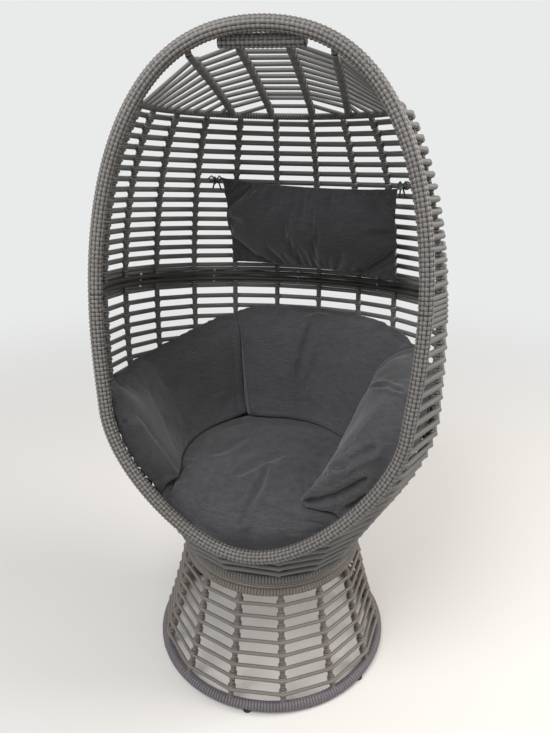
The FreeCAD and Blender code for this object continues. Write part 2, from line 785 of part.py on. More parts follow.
joint_length = rim_level_length(mid_z)
upper_end = 2 * rim_half_length - joint_length
lower_rim = curve_edges(rim_at, -joint_length, joint_length - seam_gap, 12, rim_place)
upper_rim = curve_edges(rim_at, joint_length, upper_end - seam_gap, 12, rim_place)
rim_bore = rim_tube_radius - tube_wall
save("lower_rim_wrap", [hollow_tube(lower_rim, rim_wrap_radius, rim_tube_radius + seam_gap)])
save("upper_rim_wrap", [hollow_tube(upper_rim, rim_wrap_radius, rim_tube_radius + seam_gap)])
save("lower_rim_tube", [hollow_tube(lower_rim, rim_tube_radius, rim_bore)])
save("upper_rim_tube", [hollow_tube(upper_rim, rim_tube_radius, rim_bore)])
spigots = []
for middle in (joint_length, -joint_length):
    edges = curve_edges(rim_at, middle - spigot_length / 2, middle + spigot_length / 2, 1, rim_place)
    spigots.append(tube(edges, rim_bore - seam_gap))
save("rim_spigots", spigots)

# The crown bar is a flat arc just behind the top of the rim.
crown_end_y = rim_y(crown_bar_z)
crown_radius = (crown_bar_half ** 2 + crown_bar_back ** 2) / (2 * crown_bar_back)
crown_centre = V(0, crown_end_y + crown_bar_back - crown_radius, crown_bar_z)


def crown_point(turn):
    angle = math.radians(turn)
    return crown_centre + V(crown_radius * math.sin(angle), crown_radius * math.cos(angle), 0)


def crown_heading(turn):
    angle = math.radians(turn)
    return V(math.cos(angle), -math.sin(angle), 0)


def crown_end_clear(turn):
    end = disc_rim(crown_point(turn), crown_heading(turn), crown_wrap_radius)
    return min(rim_distance(p) for p in end) >= rim_wrap_radius + seam_gap


crown_reach = bisect(0.0, math.degrees(math.asin(crown_bar_half / crown_radius)), crown_end_clear)


def crown_part(wire_radius):
    circle = Part.makeCircle(wire_radius, crown_point(crown_reach), crown_heading(crown_reach))
    return Part.Face(Part.Wire(circle)).revolve(crown_centre, V(0, 0, 1), 2 * crown_reach)


save("crown_bar_wrap", [crown_part(crown_wrap_radius).cut(crown_part(crown_tube_radius + seam_gap))])
save("crown_bar_tube", [crown_part(crown_tube_radius)])

# The hoops of the two halves are bolted together, one above the other.
upper_hoop_z = mid_z + hoop_step
lower_hoop_z = mid_z - hoop_step
lower_hoop = hoop(lower_hoop_z, -hoop_inset, hoop_radius, seam_gap)
upper_hoop = hoop(upper_hoop_z, -hoop_inset, hoop_radius, seam_gap)
joint_bolts, joint_nuts = [], []
for bearing in joint_bolt_bearings:
    low = shell_point(lower_hoop_z, bearing, -hoop_inset)
    high = shell_point(upper_hoop_z, bearing, -hoop_inset)
    along = hoop_heading(mid_z, bearing)
    axis = high - low - along * (high - low).dot(along)
    grip = axis.Length + 2 * (hoop_radius + seam_gap)
    axis.normalize()
    bottom = low - axis * (hoop_radius + seam_gap)
    hole = Part.makeCylinder(joint_bolt_radius + bolt_gap, grip, bottom, axis)
    lower_hoop = lower_hoop.cut(hole)
    upper_hoop = upper_hoop.cut(hole)
    length = grip + seam_gap + joint_nut_height + joint_bolt_out
    head = hexagon(joint_bolt_head_width, joint_bolt_head_height, bottom, -axis)
    shank = Part.makeCylinder(joint_bolt_radius, length, bottom, axis)
    joint_bolts.append(head.fuse(shank).removeSplitter())
    nut_start = bottom + axis * grip
    bore = Part.makeCylinder(joint_bolt_radius + bolt_gap, joint_nut_height, nut_start, axis)
    joint_nuts.append(hexagon(joint_bolt_head_width, joint_nut_height, nut_start, axis).cut(bore))
save("lower_mid_hoop", [lower_hoop])
save("upper_mid_hoop", [upper_hoop])
save("half_joint_bolts", joint_bolts)
save("half_joint_nuts", joint_nuts)
save("hood_hoop", [hoop(hood_z, -hoop_inset, hoop_radius, seam_gap)])

# Ribs

on_lower_hoop = clear_of_hoop(lower_hoop_z, -hoop_inset, hoop_radius)
on_upper_hoop = clear_of_hoop(upper_hoop_z, -hoop_inset, hoop_radius)
on_hood_hoop = clear_of_hoop(hood_z, -hoop_inset, hoop_radius)
on_pod_ring = clear_of_hoop(pod_ring_z, 0.0, pod_wrap_radius)

bowl_ribs, wall_ribs, front_ribs = [], [], []
for side in (-1, 1):
    for i in range(rib_count):
        bearing = side * rib_spacing * (i + 0.5)
        bowl_ribs.append(rib(bearing, pod_ring_z, lower_hoop_z, on_pod_ring, on_lower_hoop, 5))
        wall_ribs.append(rib(bearing, upper_hoop_z, hood_z, on_upper_hoop, on_hood_hoop, 4))
    for bearing in front_rib_bearings:
        top = rim_level_at(bearing)
        front_ribs.append(rib(side * bearing, pod_ring_z, top, on_pod_ring, clear_of_rim, 3))
save("bowl_ribs", bowl_ribs)
save("front_bowl_ribs", front_ribs)
save("wall_ribs", wall_ribs)

# The hood. At a distance x to the side, its surface runs from the hoop at the back to a point
# under the rim.

hood_height, hood_radius = hoop_circle(hood_z, -hoop_inset)
rim_tops = [p for p in reversed(rim_points) if p[1] > 0]


def rim_top_z(x):
    """The height of the rim's centre line, x to the side of its top."""
    up = between(min(abs(x), rim_tops[-1][0]), [p[0] for p in rim_tops], [(p[1],) for p in rim_tops])[0]
    return rim_place((x, up)).z


def hood_surface(x, y):
    """The height of the hood's surface."""
    back = math.sqrt(max(hood_radius ** 2 - x ** 2, 0.0))
    back_y = back * math.cos(math.radians(hood_tilt))
    back_z = hood_height - back * math.sin(math.radians(hood_tilt))
    fade = max(1 - (abs(x) / hood_drop_end) ** 4, 0.0)
    front_z = rim_top_z(x)
    front_y = rim_y(front_z)
    forward = (back_y - y) / (back_y - front_y)
    swell = hood_bulge * fade * 4 * forward * (1 - forward)
    return back_z + (front_z - hood_drop * fade - back_z) * forward + swell


def hood_steepness(x, y):
    """How much longer than its normal distance a vertical distance to the surface is."""
    along = hood_surface(x + 1, y) - hood_surface(x - 1, y)
    across = hood_surface(x, y + 1) - hood_surface(x, y - 1)
    return math.sqrt(1 + (along / 2) ** 2 + (across / 2) ** 2)


def clear_of_crown(point):
    arm = point - crown_centre
    away = math.hypot(math.hypot(arm.x, arm.y) - crown_radius, arm.z)
    return away >= crown_wrap_radius + seam_gap


def hood_rib(x):
    """A rod in the upright plane at x, from the hoop at the back to the crown bar or the rim."""
    def in_plane(y):
        return (y, hood_surface(x, y))

    def clear(y):
        here = V(x, *in_plane(y))
        heading = V(x, *in_plane(y - 1)) - here
        heading.normalize()
        end = disc_rim(here, heading, rib_radius)
        return all(on_hood_hoop(p) and clear_of_crown(p) and clear_of_rim(p) for p in end)

    back = bisect(0.0, hood_radius, clear)
    front = bisect(0.0, rim_y(rim_top_z(x)), clear)
    return tube(curve_edges(in_plane, back, front, 4, lambda flat: V(x, *flat)), rib_radius)


def hood_strand(y):
    """A rod that arches over the hood's ribs and comes down on the hoop at both sides."""
    lean = math.radians(hood_tilt)
    end_x = math.sqrt(hood_radius ** 2 - (y / math.cos(lean)) ** 2)
    end_z = hood_height - y * math.tan(lean)
    reach = rib_radius + strand_gap + hood_strand_radius
    lift = 0.0
    for x in hood_rib_offsets:
        if x < end_x:
            settled = (x / end_x) ** hood_settle
            lift = max(lift, reach * hood_steepness(x, y) / (1 - settled))
    drop = hood_surface(end_x, y) + lift - end_z

    def in_plane(x):
        return (x, hood_surface(x, y) + lift - drop * (abs(x) / end_x) ** hood_settle)

    def clear(x):
        here = V(x, y, in_plane(x)[1])
        heading = V(x + 1, y, in_plane(x + 1)[1]) - here
        heading.normalize()
        keep = strand_gap - seam_gap
        end = disc_rim(here, heading, hood_strand_radius + keep)
        return all(on_hood_hoop(p) and clear_of_rim(p) for p in end)

    side = bisect(hood_rib_offsets[0], end_x, clear)
    edges = curve_edges(in_plane, -side, side, 8, lambda flat: V(flat[0], y, flat[1]))
    return tube(edges, hood_strand_radius)


hood_ribs = [hood_rib(side * x) for x in hood_rib_offsets for side in (-1, 1)]
save("hood_ribs", hood_ribs)
hood_pitch = (hood_first_y - hood_last_y) / (hood_strand_count - 1)
save("hood_strands", [hood_strand(hood_first_y - hood_pitch * i) for i in range(hood_strand_count)])

# Woven courses outside the ribs

band_half = band_pitch * (band_strand_count - 1) / 2
band_levels = [mid_z - band_half + band_pitch * i for i in range(band_strand_count)]
bowl_levels = even_levels(pod_ring_z, band_levels[0], bowl_course_count)
wall_levels = even_levels(band_levels[-1], hood_z, wall_course_count)
save("bowl_courses", [hoop(level, strand_out, strand_radius, strand_gap) for level in bowl_levels])
save("band_courses", [hoop(level, strand_out, strand_radius, strand_gap) for level in band_levels])
save("wall_courses", [hoop(level, strand_out, strand_radius, strand_gap) for level in wall_levels])

# Cushions. Those along the wall have sections in upright planes through the axis.


def wall_point(z, plane_bearing, gap):
    """A point beside the inside of the ribs, at height z."""
    reach = rib_inset + rib_radius + gap
    level = z
    for _ in range(8):
        distance, height = rib_flat(level, plane_bearing, -reach)
        level += z - height
    return (distance, z)


seat_bottom = pod_bar_top + soft_gap
seat_crown = seat_bottom + seat_thickness
seat_seam = seat_crown - seat_seam_drop
seat_top = ((0.0, 1.0), (0.3, 0.985), (0.52, 0.955), (0.7, 0.905), (0.84, 0.83), (0.93, 0.72),
            (0.98, 0.57), (1.0, 0.4))


def seat_height(distance, bearing):
    """How high the seat's crown is, away from the front."""
    share = distance / wall_point(seat_seam, bearing, side_gap)[0]
    rises = [(s, (r,)) for r, s in reversed(seat_top)]
    rise = between(min(max(share, seat_top[-1][1]), 1.0), [s for s, _ in rises], [r for _, r in rises])[0]
    return seat_seam + seat_seam_drop * rise


class CushionPlane:
    """The upright plane of one section of a wall cushion, turned a little from the axis."""

    def __init__(self, bearing, turn):
        reach = wall_point(seat_crown + cushion_heel, bearing, back_gap)[0]
        angle = math.radians(bearing)
        self.foot = V(reach * math.sin(angle), reach * math.cos(angle), 0)
        self.outward = V(math.sin(angle + math.radians(turn)), math.cos(angle + math.radians(turn)), 0)

    def place(self, flat):
        return self.foot + self.outward * flat[0] + V(0, 0, flat[1])

    def wall(self, z):
        """The point beside the ribs at height z."""
        def is_inside(distance):
            here = self.place((distance, z))
            bearing = math.degrees(math.atan2(here.x, here.y))
            return math.hypot(here.x, here.y) <= wall_point(z, bearing, back_gap)[0]

        return (bisect(-belly_radius / 2, belly_radius / 2, is_inside), z)

    def under_rim(self, thickness):
        """The highest point against the ribs that lies behind the wrapped rim."""
        keep = (rim_wrap_radius + soft_gap) / math.cos(math.radians(rim_lean))

        def is_behind(z):
            outside = self.wall(z)
            inside = (outside[0] - thickness, z)
            return min(self.place(outside).y, self.place(inside).y) >= rim_y(z) + keep

        return bisect(seat_seam, hood_z, is_behind)


def closed_wire(runs, place):
    """One closed outline from runs of (points, headings)."""
    edges = []
    for points, headings in runs:
        edges += smooth_edges(points, headings, place)
    return Part.Wire(edges)


def unit(direction):
    length = math.hypot(*direction)
    return (direction[0] / length, direction[1] / length)


def sole_height(plane, thickness):
    """How high a wall cushion stands: just over the seat, one thickness in from the ribs."""
    toe = plane.place((plane.wall(seat_crown)[0] - thickness, 0))
    return seat_height(math.hypot(toe.x, toe.y), math.degrees(math.atan2(toe.x, toe.y))) + soft_gap


def wall_section(plane, bottom, sole, top, low_thickness, high_thickness):
    """Along the ribs outside, crowned inside, and flat where it stands on the seat."""
    heights = [bottom + (top - bottom) * share for share in (0.0, 0.15, 0.4, 0.7, 1.0)]
    wall = [plane.wall(z) for z in heights]
    wall_headings = [unit(minus(plane.wall(z + 5), plane.wall(z - 5))) for z in heights]
    shoulder = (top - sole) / 4
    high = plane.wall(top - shoulder)
    low = plane.wall(sole + shoulder)
    toe = plane.wall(sole)
    high = (high[0] - high_thickness, high[1])
    low = (low[0] - low_thickness, low[1])
    toe = (toe[0] - low_thickness * cushion_sole, toe[1])
    down = unit(minus(low, high))
    inner = [wall[-1], high, low, toe, wall[0]]
    inner_headings = [turned(down, -65), down, down, (1.0, 0.0), turned((1.0, 0.0), cushion_heel_slope)]
    return closed_wire([(wall, wall_headings), (inner, inner_headings)], plane.place)


def wall_cushion(first_bearing, last_bearing, tops, thickness, last_turn=0.0):
    """A loft from one end to the other. The tops are heights at the first end, middle and last end."""
    sections = []
    shares = (0.0, 0.07, 0.2, 0.35, 0.5, 0.65, 0.8, 0.93, 1.0)
    bottom = seat_seam + cushion_heel
    for share in shares:
        plane = CushionPlane(first_bearing + (last_bearing - first_bearing) * share, last_turn * share)
        across = abs(2 * share - 1)
        fullness = (1 - across ** 5) * (1 - cushion_edge) + cushion_edge
        tallness = (1 - across ** 8) * (1 - cushion_end_height) + cushion_end_height
        low, high = (t * fullness for t in thickness)
        start = tops[0] if share < 0.5 else tops[2]
        top = seat_crown + (tops[1] + (start - tops[1]) * across ** 2) * tallness
        top = min(top, plane.under_rim(high))
        sections.append(wall_section(plane, bottom, sole_height(plane, thickness[0]), top, low, high))
    return Part.makeLoft(sections, True, False)


# The seat fills the bowl from the cross bars up, and its front follows the rim.
seat_ring = 16


def seat_section(z, scale):
    """A closed outline at height z, against the ribs and behind the rim, then drawn in by scale."""
    keep = (rim_wrap_radius + side_gap) / math.cos(math.radians(rim_lean))
    points = []
    for i in range(seat_ring + 1):
        bearing = 360 * i / seat_ring
        distance = wall_point(min(z, seat_seam), bearing, side_gap)[0]
        forward = -math.cos(math.radians(bearing))
        if forward > 0:
            distance = min(distance, (-rim_y(min(z, seat_seam)) - keep) / forward)
        angle = math.radians(bearing)
        points.append(V(distance * scale * math.sin(angle), distance * scale * math.cos(angle), z))
    edges = []
    for i in range(0, seat_ring, 2):
        edges.append(Part.Arc(points[i], points[i + 1], points[i + 2]).toShape())
    return Part.Wire(edges)


seat_sides = ((0.0, seat_foot_share), (0.1, 0.96), (0.25, 1.0), (0.4, 1.0), (0.6, 1.0), (0.8, 1.0),
              (1.0, 1.0))
seat_side_height = seat_seam - seat_bottom
side_sections = [seat_section(seat_bottom + seat_side_height * share, scale) for share, scale in seat_sides]
top_sections = [seat_section(seat_seam + seat_seam_drop * share, scale) for share, scale in seat_top]
seat = Part.makeLoft(side_sections + top_sections[1:], True, True)
save("seat_cushion", [seat])

left_seam, right_seam = cushion_seams
left_cushion = wall_cushion(left_end, left_seam - cushion_seam_half, left_tops, left_thickness)
back_cushion = wall_cushion(left_seam + cushion_seam_half, right_seam - cushion_seam_half, back_tops,
                            back_thickness)
right_cushion = wall_cushion(right_seam + cushion_seam_half, right_end, right_tops, right_thickness,
                             right_end_turn)
save("left_side_cushion", [left_cushion])
save("back_cushion", [back_cushion])
save("right_side_cushion", [right_cushion])

# The head pillow hangs by two ties from the wall's strands. It is lofted flat, then turned.
pillow_shares = (0.0, 0.06, 0.2, 0.35, 0.5, 0.65, 0.8, 0.94, 1.0)


def pillow_height_at(share):
    return pillow_height * (pillow_waist + (1 - pillow_waist) * abs(2 * share - 1) ** 2)


def to_pillow(point):
    """A point of the flat pillow, moved to where the pillow hangs."""
    lean = math.radians(pillow_lean)
    turn = math.radians(-pillow_turn)
    y = point.y * math.cos(lean) - point.z * math.sin(lean)
    z = point.y * math.sin(lean) + point.z * math.cos(lean)
    across = point.x * math.cos(turn) - y * math.sin(turn)
    back = point.x * math.sin(turn) + y * math.cos(turn)
    return V(pillow_across + across, pillow_back + back, pillow_up + z)


def pillow_section(share):
    x = pillow_width * (share - 0.5)
    swell = math.sqrt(1 - abs(2 * share - 1) ** 2.6)
    half_height = pillow_height_at(share) / 2
    half_thickness = (pillow_edge + (pillow_thickness - pillow_edge) * swell) / 2
    top, bottom = to_pillow(V(x, 0, half_height)), to_pillow(V(x, 0, -half_height))
    front, back = to_pillow(V(x, -half_thickness, 0)), to_pillow(V(x, half_thickness, 0))
    return Part.Wire([Part.Arc(top, front, bottom).toShape(), Part.Arc(bottom, back, top).toShape()])


pillow = Part.makeLoft([pillow_section(share) for share in pillow_shares], True, False)
save("head_pillow", [pillow])

# Each tie loops over the strand behind its corner, midway between two ribs.
ties = []
for side, bay in ((-1, -2), (1, 3)):
    corner = to_pillow(V(side * pillow_width / 2, 0, pillow_height / 2))
    bearing = bay * rib_spacing
    level = min(wall_levels, key=lambda z: abs(shell_point(z, bearing, strand_out).z - corner.z))
    strand = shell_point(level, bearing, strand_out)
    along = hoop_heading(level, bearing)
    loop_radius = strand_radius + tie_slack + tie_radius
    loop = Part.makeTorus(loop_radius, tie_radius, strand, along)
    toward = corner - strand
    toward = toward - along * toward.dot(along)
    toward.normalize()
    knot = strand + toward * loop_radius
    strap = corner - knot
    whole = strap.Length
    strap.normalize()

    def off_pillow(length):
        return Part.makeCylinder(tie_radius, length, knot, strap).distToShape(pillow)[0] >= seam_gap

    length = bisect(whole / 2, whole, off_pillow, 10)
    ties.append(loop.fuse(Part.makeCylinder(tie_radius, length, knot, strap)))
save("pillow_ties", ties)

print("axis y", axis_y, "seat", seat_bottom, seat_seam, seat_crown)
print("rim levels", round(rim_low_level, 1), round(rim_high_level, 1), "crown reach", round(crown_reach, 1))
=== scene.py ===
# %% [markdown]
# # A standing egg chair
# The chair is a woven egg with an open front that turns on a woven drum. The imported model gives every
# hard piece its true place, and this script dresses it: the weave, the wound skins of the rings, the
# braided rim and the cushions are made here, each over the solid that it stands for.

# %% Load the frame
import bpy
import bmesh
import json
import math
import mathutils
import mathutils.bvhtree
import mathutils.kdtree
import mathutils.noise
import numpy as np
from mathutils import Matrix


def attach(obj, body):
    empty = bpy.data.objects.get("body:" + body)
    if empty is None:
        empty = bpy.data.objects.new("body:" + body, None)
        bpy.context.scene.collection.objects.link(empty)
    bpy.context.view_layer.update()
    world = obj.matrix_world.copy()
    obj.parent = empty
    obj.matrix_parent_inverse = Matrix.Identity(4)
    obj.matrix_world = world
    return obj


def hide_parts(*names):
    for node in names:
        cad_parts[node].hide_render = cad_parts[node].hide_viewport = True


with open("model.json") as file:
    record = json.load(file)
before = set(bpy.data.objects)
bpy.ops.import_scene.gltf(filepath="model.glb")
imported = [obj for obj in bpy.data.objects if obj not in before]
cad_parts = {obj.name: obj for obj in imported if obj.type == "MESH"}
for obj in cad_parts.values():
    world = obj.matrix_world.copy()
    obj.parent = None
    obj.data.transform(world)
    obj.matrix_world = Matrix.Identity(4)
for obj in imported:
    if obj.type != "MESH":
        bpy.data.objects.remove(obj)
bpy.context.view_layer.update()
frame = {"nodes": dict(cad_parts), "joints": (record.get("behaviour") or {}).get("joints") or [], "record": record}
nodes = frame["nodes"]
axis_y = frame["joints"][0]["pos_m"][1]
print("turning axis at y", axis_y, "and", len(nodes), "nodes")

# %% [markdown]
# ## Camera
# The photograph looks down at the chair from about eye height, from a little right of the front. A
# wide lens is used because the camera stood close. The long side of the picture is the sensor's width.


# %% Camera
def placed(name, data):
    """A new object in the scene, with this camera, lamp or mesh."""
    thing = bpy.data.objects.new(name, data)
    bpy.context.scene.collection.objects.link(thing)
    return thing


sensor_width, picture_height, focal_pixels = 36.0, 733.0, 644.0
looks_down, turned_left = 23.2, 11.5
camera_data = bpy.data.cameras.new("camera")
camera_data.sensor_width = sensor_width
camera_data.lens = sensor_width * focal_pixels / picture_height
camera = placed("camera", camera_data)
camera.location = (0.2935, -1.3996 + axis_y, 1.4125)
camera.rotation_euler = (math.radians(90.0 - looks_down), 0.0, math.radians(turned_left))
bpy.context.scene.camera = camera
bpy.context.scene.view_settings.view_transform = "Standard"
print("camera at", [round(v, 3) for v in camera.location])

# %% [markdown]
# ## Floor and light
# A plain pale floor and a pale surround. The surround is bright only where the camera, a mirror or a
# glass sees it, so that it doesn't add light to the chair. In the photograph the weave outside on the
# right is the lightest part and the inside of the egg the darkest. One lamp stands high on the right.
# The other stands high in front and reaches the seat, while the hood keeps it from the back.


# %% Colours and nodes
def linear(hex_colour):
    """An sRGB hex colour as the linear colour that Blender's shaders take."""
    values = [int(hex_colour[i:i + 2], 16) / 255 for i in (1, 3, 5)]
    return [v / 12.92 if v <= 0.04045 else ((v + 0.055) / 1.055) ** 2.4 for v in values] + [1.0]


def add(tree, kind, settings=None, **links):
    """A new node. Settings are its properties, and links are its inputs: a socket or a value."""
    node = tree.nodes.new(kind)
    for name, value in (settings or {}).items():
        setattr(node, name, value)
    for name, value in links.items():
        key = int(name[1:]) if name[0] == "i" and name[1:].isdigit() else name.replace("_", " ")
        if isinstance(value, bpy.types.NodeSocket):
            tree.links.new(value, node.inputs[key])
        else:
            node.inputs[key].default_value = value
    return node


# %% Floor, surround and lamps
surround_colour = "#e9eaea"
fade_start, fade_end = 0.7, 3.4


def pale_material(name, near_colour, far_colour, rough):
    """A matt floor. Away from the chair the camera sees it as bright as the surround, with no horizon."""
    material = bpy.data.materials.new(name)
    material.use_nodes = True
    tree = material.node_tree
    tree.nodes.clear()
    place = add(tree, "ShaderNodeTexCoord").outputs["Object"]
    away = add(tree, "ShaderNodeVectorMath", {"operation": "LENGTH"}, i0=place).outputs["Value"]
    fade = add(tree, "ShaderNodeMapRange", {"interpolation_type": "SMOOTHSTEP"}, Value=away,
               From_Min=fade_start, From_Max=fade_end).outputs[0]
    seen = add(tree, "ShaderNodeLightPath").outputs["Is Camera Ray"]
    share = add(tree, "ShaderNodeMath", {"operation": "MULTIPLY"}, i0=fade, i1=seen).outputs[0]
    shader = add(tree, "ShaderNodeBsdfPrincipled", Base_Color=linear(near_colour), Roughness=rough)
    glow = add(tree, "ShaderNodeEmission", Color=linear(far_colour), Strength=1.0)
    both = add(tree, "ShaderNodeMixShader", i0=share, i1=shader.outputs[0], i2=glow.outputs[0])
    add(tree, "ShaderNodeOutputMaterial", Surface=both.outputs[0])
    return material


floor_mesh = bpy.data.meshes.new("floor")
floor_mesh.from_pydata([(-20, -20, 0), (20, -20, 0), (20, 20, 0), (-20, 20, 0)], [], [(0, 1, 2, 3)])
floor_mesh.materials.append(pale_material("pale_floor", "#dbd8d3", surround_colour, 0.8))
floor = placed("floor", floor_mesh)

world = bpy.data.worlds.new("surround")
bpy.context.scene.world = world
world.use_nodes = True
sky = world.node_tree
sky.nodes.clear()
path = add(sky, "ShaderNodeLightPath")
seen = path.outputs["Is Camera Ray"]
for ray in ("Is Glossy Ray", "Is Transmission Ray"):
    seen = add(sky, "ShaderNodeMath", {"operation": "MAXIMUM"}, i0=seen, i1=path.outputs[ray]).outputs[0]
plain = add(sky, "ShaderNodeBackground", Color=linear("#eceef0"), Strength=0.62)
white = add(sky, "ShaderNodeBackground", Color=linear(surround_colour), Strength=1.0)
both = add(sky, "ShaderNodeMixShader", i0=seen, i1=plain.outputs[0], i2=white.outputs[0])
add(sky, "ShaderNodeOutputWorld", Surface=both.outputs[0])


def lamp(name, place, aim, size, watts, hex_colour):
    data = bpy.data.lights.new(name, "AREA")
    data.shape = "DISK"
    data.size = size
    data.energy = watts
    data.color = linear(hex_colour)[:3]
    thing = placed(name, data)
    thing.location = place
    way = np.array(aim) - np.array(place)
    tip = math.acos(-way[2] / np.linalg.norm(way))
    thing.rotation_euler = (tip, 0.0, math.atan2(way[0], -way[1]) + math.pi)


lamp("window", (2.2, 0.5, 2.4), (0.1, 0.0, 0.8), 1.6, 66, "#fffaf4")
lamp("room", (-0.8, -1.9, 3.1), (0.0, 0.0, 0.6), 2.0, 85, "#fcfcff")

# %% [markdown]
# ## The egg's surface
# Every hoop of the egg is a circle round the turning axis, tipped a little so that its front is
# higher. The radius follows one curve below the belly and another above it. The same sizes shaped the
# solids, so the weave that is laid here meets them everywhere.

# %% Sizes, in metres
ring_radius, ring_z = 0.225, 0.348
bowl_height, belly_radius, bowl_slope = 0.378, 0.400, 0.48
belly_z = ring_z + bowl_height
mid_z = belly_z + 0.258
hood_z = mid_z + 0.402
pole_z = hood_z + 0.140
fullness = 2.53
tilt_levels = (ring_z, belly_z + 0.043, mid_z, hood_z)
tilt_degrees = (0.0, 10.9, 9.4, 5.9)
rim_front, rim_front_z, rim_lean = 0.204, 0.900, math.radians(9.1)
rib_inset, rib_spacing = 0.008, 18.4
strand_radius, strand_out = 0.0062, 0.0036
band_radius = 0.0057
rib_bearings = [side * rib_spacing * (i + 0.5) for side in (-1, 1) for i in range(6)]
front_bearings = [side * b for side in (-1, 1) for b in (122.0, 143.0, 164.5)]
hoop_inset, hoop_step = 0.009, 0.0075


# %% Points of the egg
def egg_radius(level):
    if level > belly_z:
        share = min((level - belly_z) / (pole_z - belly_z), 0.9999)
        return belly_radius * (1 - share ** fullness) ** (1 / fullness)
    u = (level - ring_z) / bowl_height
    rise = 3 * u ** 2 - 2 * u ** 3
    flare = bowl_slope * bowl_height * (u - 2 * u ** 2 + u ** 3)
    return ring_radius * (1 - rise) + belly_radius * rise + flare


def egg_tilt(level):
    return math.radians(np.interp(level, tilt_levels, tilt_degrees))


def egg_point(level, bearing, out=0.0):
    """A point of the egg, out metres outside it. The bearing is in degrees from the back."""
    slope = (egg_radius(level + 0.0005) - egg_radius(level - 0.0005)) / 0.001
    share = out / math.hypot(1, slope)
    radius, height = egg_radius(level) + share, level - share * slope
    side, back = math.sin(math.radians(bearing)), math.cos(math.radians(bearing))
    tilt = egg_tilt(level)
    return np.array([radius * side, radius * back * math.cos(tilt) + axis_y,
                     height - radius * back * math.sin(tilt)])


def rim_plane_y(z):
    return -rim_front + (z - rim_front_z) * math.tan(rim_lean)


def rim_share(level):
    """The cosine of the bearing at which the hoop of this level meets the rim."""
    tilt = egg_tilt(level)
    return rim_plane_y(level) / (math.cos(tilt) + math.sin(tilt) * math.tan(rim_lean)) / egg_radius(level)


def rim_bearing(level):
    share = rim_share(level)
    return 180.0 if share <= -1 else math.degrees(math.acos(share))


def halve(good, bad, is_good, steps=40):
    for _ in range(steps):
        middle = (good + bad) / 2
        if is_good(middle):
            good = middle
        else:
            bad = middle
    return good


rim_low = halve(belly_z, ring_z, lambda level: rim_share(level) >= -1)
rim_high = halve(belly_z, pole_z, lambda level: rim_share(level) >= -1)
print("the rim runs from level", round(rim_low, 3), "to", round(rim_high, 3))


def even_levels(low, high, count):
    """Levels between two others, evenly spaced along the egg's surface."""
    levels = np.linspace(low, high, 201)
    radii = np.array([egg_radius(level) for level in levels])
    lengths = np.concatenate([[0.0], np.cumsum(np.hypot(np.diff(levels), np.diff(radii)))])
    return np.interp(lengths[-1] * np.arange(1, count + 1) / (count + 1), lengths, levels)


def upright_bearing(level, plane):
    """The bearing at which a hoop passes through an upright plane through the axis."""
    return math.degrees(math.atan2(math.sin(math.radians(plane)) * math.cos(egg_tilt(level)),
                                   math.cos(math.radians(plane))))


# %% [markdown]
# ## Finishes
# The weave is extruded polyethylene wicker, a matt plastic strand with fine streaks along it that
# copy cane. It weathers unevenly, so its grey drifts over a hand's width. The tubes under it are
# powder-coated steel, which is smooth with a slight orange peel. The cushion covers are woven
# polyester, charcoal, with no gloss and a soft edge of light from the fibre ends.


# %% How every finish starts and ends
def start_material(name):
    """An empty material, its tree and the place that its patterns read."""
    material = bpy.data.materials.new(name)
    material.use_nodes = True
    tree = material.node_tree
    tree.nodes.clear()
    return material, tree, add(tree, "ShaderNodeTexCoord").outputs["Object"]


def surface(tree, colour, rough, height, strength, distance, **more):
    """The last nodes of a finish: its colour and gloss, over a relief."""
    bump = add(tree, "ShaderNodeBump", Height=height, Strength=strength, Distance=distance).outputs[0]
    shader = add(tree, "ShaderNodeBsdfPrincipled", Base_Color=colour, Roughness=rough, Normal=bump, **more)
    add(tree, "ShaderNodeOutputMaterial", Surface=shader.outputs[0])


# %% Wicker
def wicker(name, dark, light, streak, rough, gap=None):
    """Extruded polyethylene strand. The streaks are about 2 mm wide, as coarse as the render shows.
    Where a mesh says how deep a point lies in its braid, the gap colour paints shade into the deep places."""
    material, tree, place = start_material(name)
    drift = add(tree, "ShaderNodeTexNoise", Vector=place, Scale=9.0, Detail=3.0).outputs["Fac"]
    fine = add(tree, "ShaderNodeTexNoise", Vector=place, Scale=420.0, Detail=4.0,
               Roughness=0.7).outputs["Fac"]
    base = add(tree, "ShaderNodeMix", {"data_type": "RGBA"}, i0=drift, i6=linear(dark), i7=linear(light))
    share = add(tree, "ShaderNodeMapRange", Value=fine, From_Min=0.35, From_Max=0.75, To_Min=0.0, To_Max=0.55)
    colour = add(tree, "ShaderNodeMix", {"data_type": "RGBA"}, i0=share.outputs[0], i6=base.outputs[2],
                 i7=linear(streak))
    # Painted shade: the deeper a point lies in the braid, the more it takes the gap colour.
    if gap:
        deep = add(tree, "ShaderNodeAttribute", {"attribute_name": "depth"}).outputs["Fac"]
        deep = add(tree, "ShaderNodeMapRange", Value=deep, From_Min=0.35, From_Max=0.8).outputs[0]
        colour = add(tree, "ShaderNodeMix", {"data_type": "RGBA"}, i0=deep, i6=colour.outputs[2],
                     i7=linear(gap))
    surface(tree, colour.outputs[2], rough, fine, 0.35, 0.0006, IOR=1.5)
    return material


pod_wicker = wicker("pe_wicker_grey", "#4b4a47", "#646360", "#7b7a77", 0.55)
# The rim's and the crown bar's gap colours are painted shade for the crevices of their braids.
rim_wicker = wicker("pe_wicker_rim", "#504c48", "#726e6a", "#8f8b87", 0.5, gap="#282624")
bar_wicker = wicker("pe_wicker_bar", "#4d4b48", "#6c6a67", "#8b8986", 0.5, gap="#1a1918")
base_wicker = wicker("pe_wicker_base", "#565049", "#736c65", "#8b847c", 0.55)
foot_wicker = wicker("pe_wicker_foot", "#4d494d", "#6a656a", "#837e83", 0.5)
print("wickers:", [material.name for material in bpy.data.materials if "wicker" in material.name])


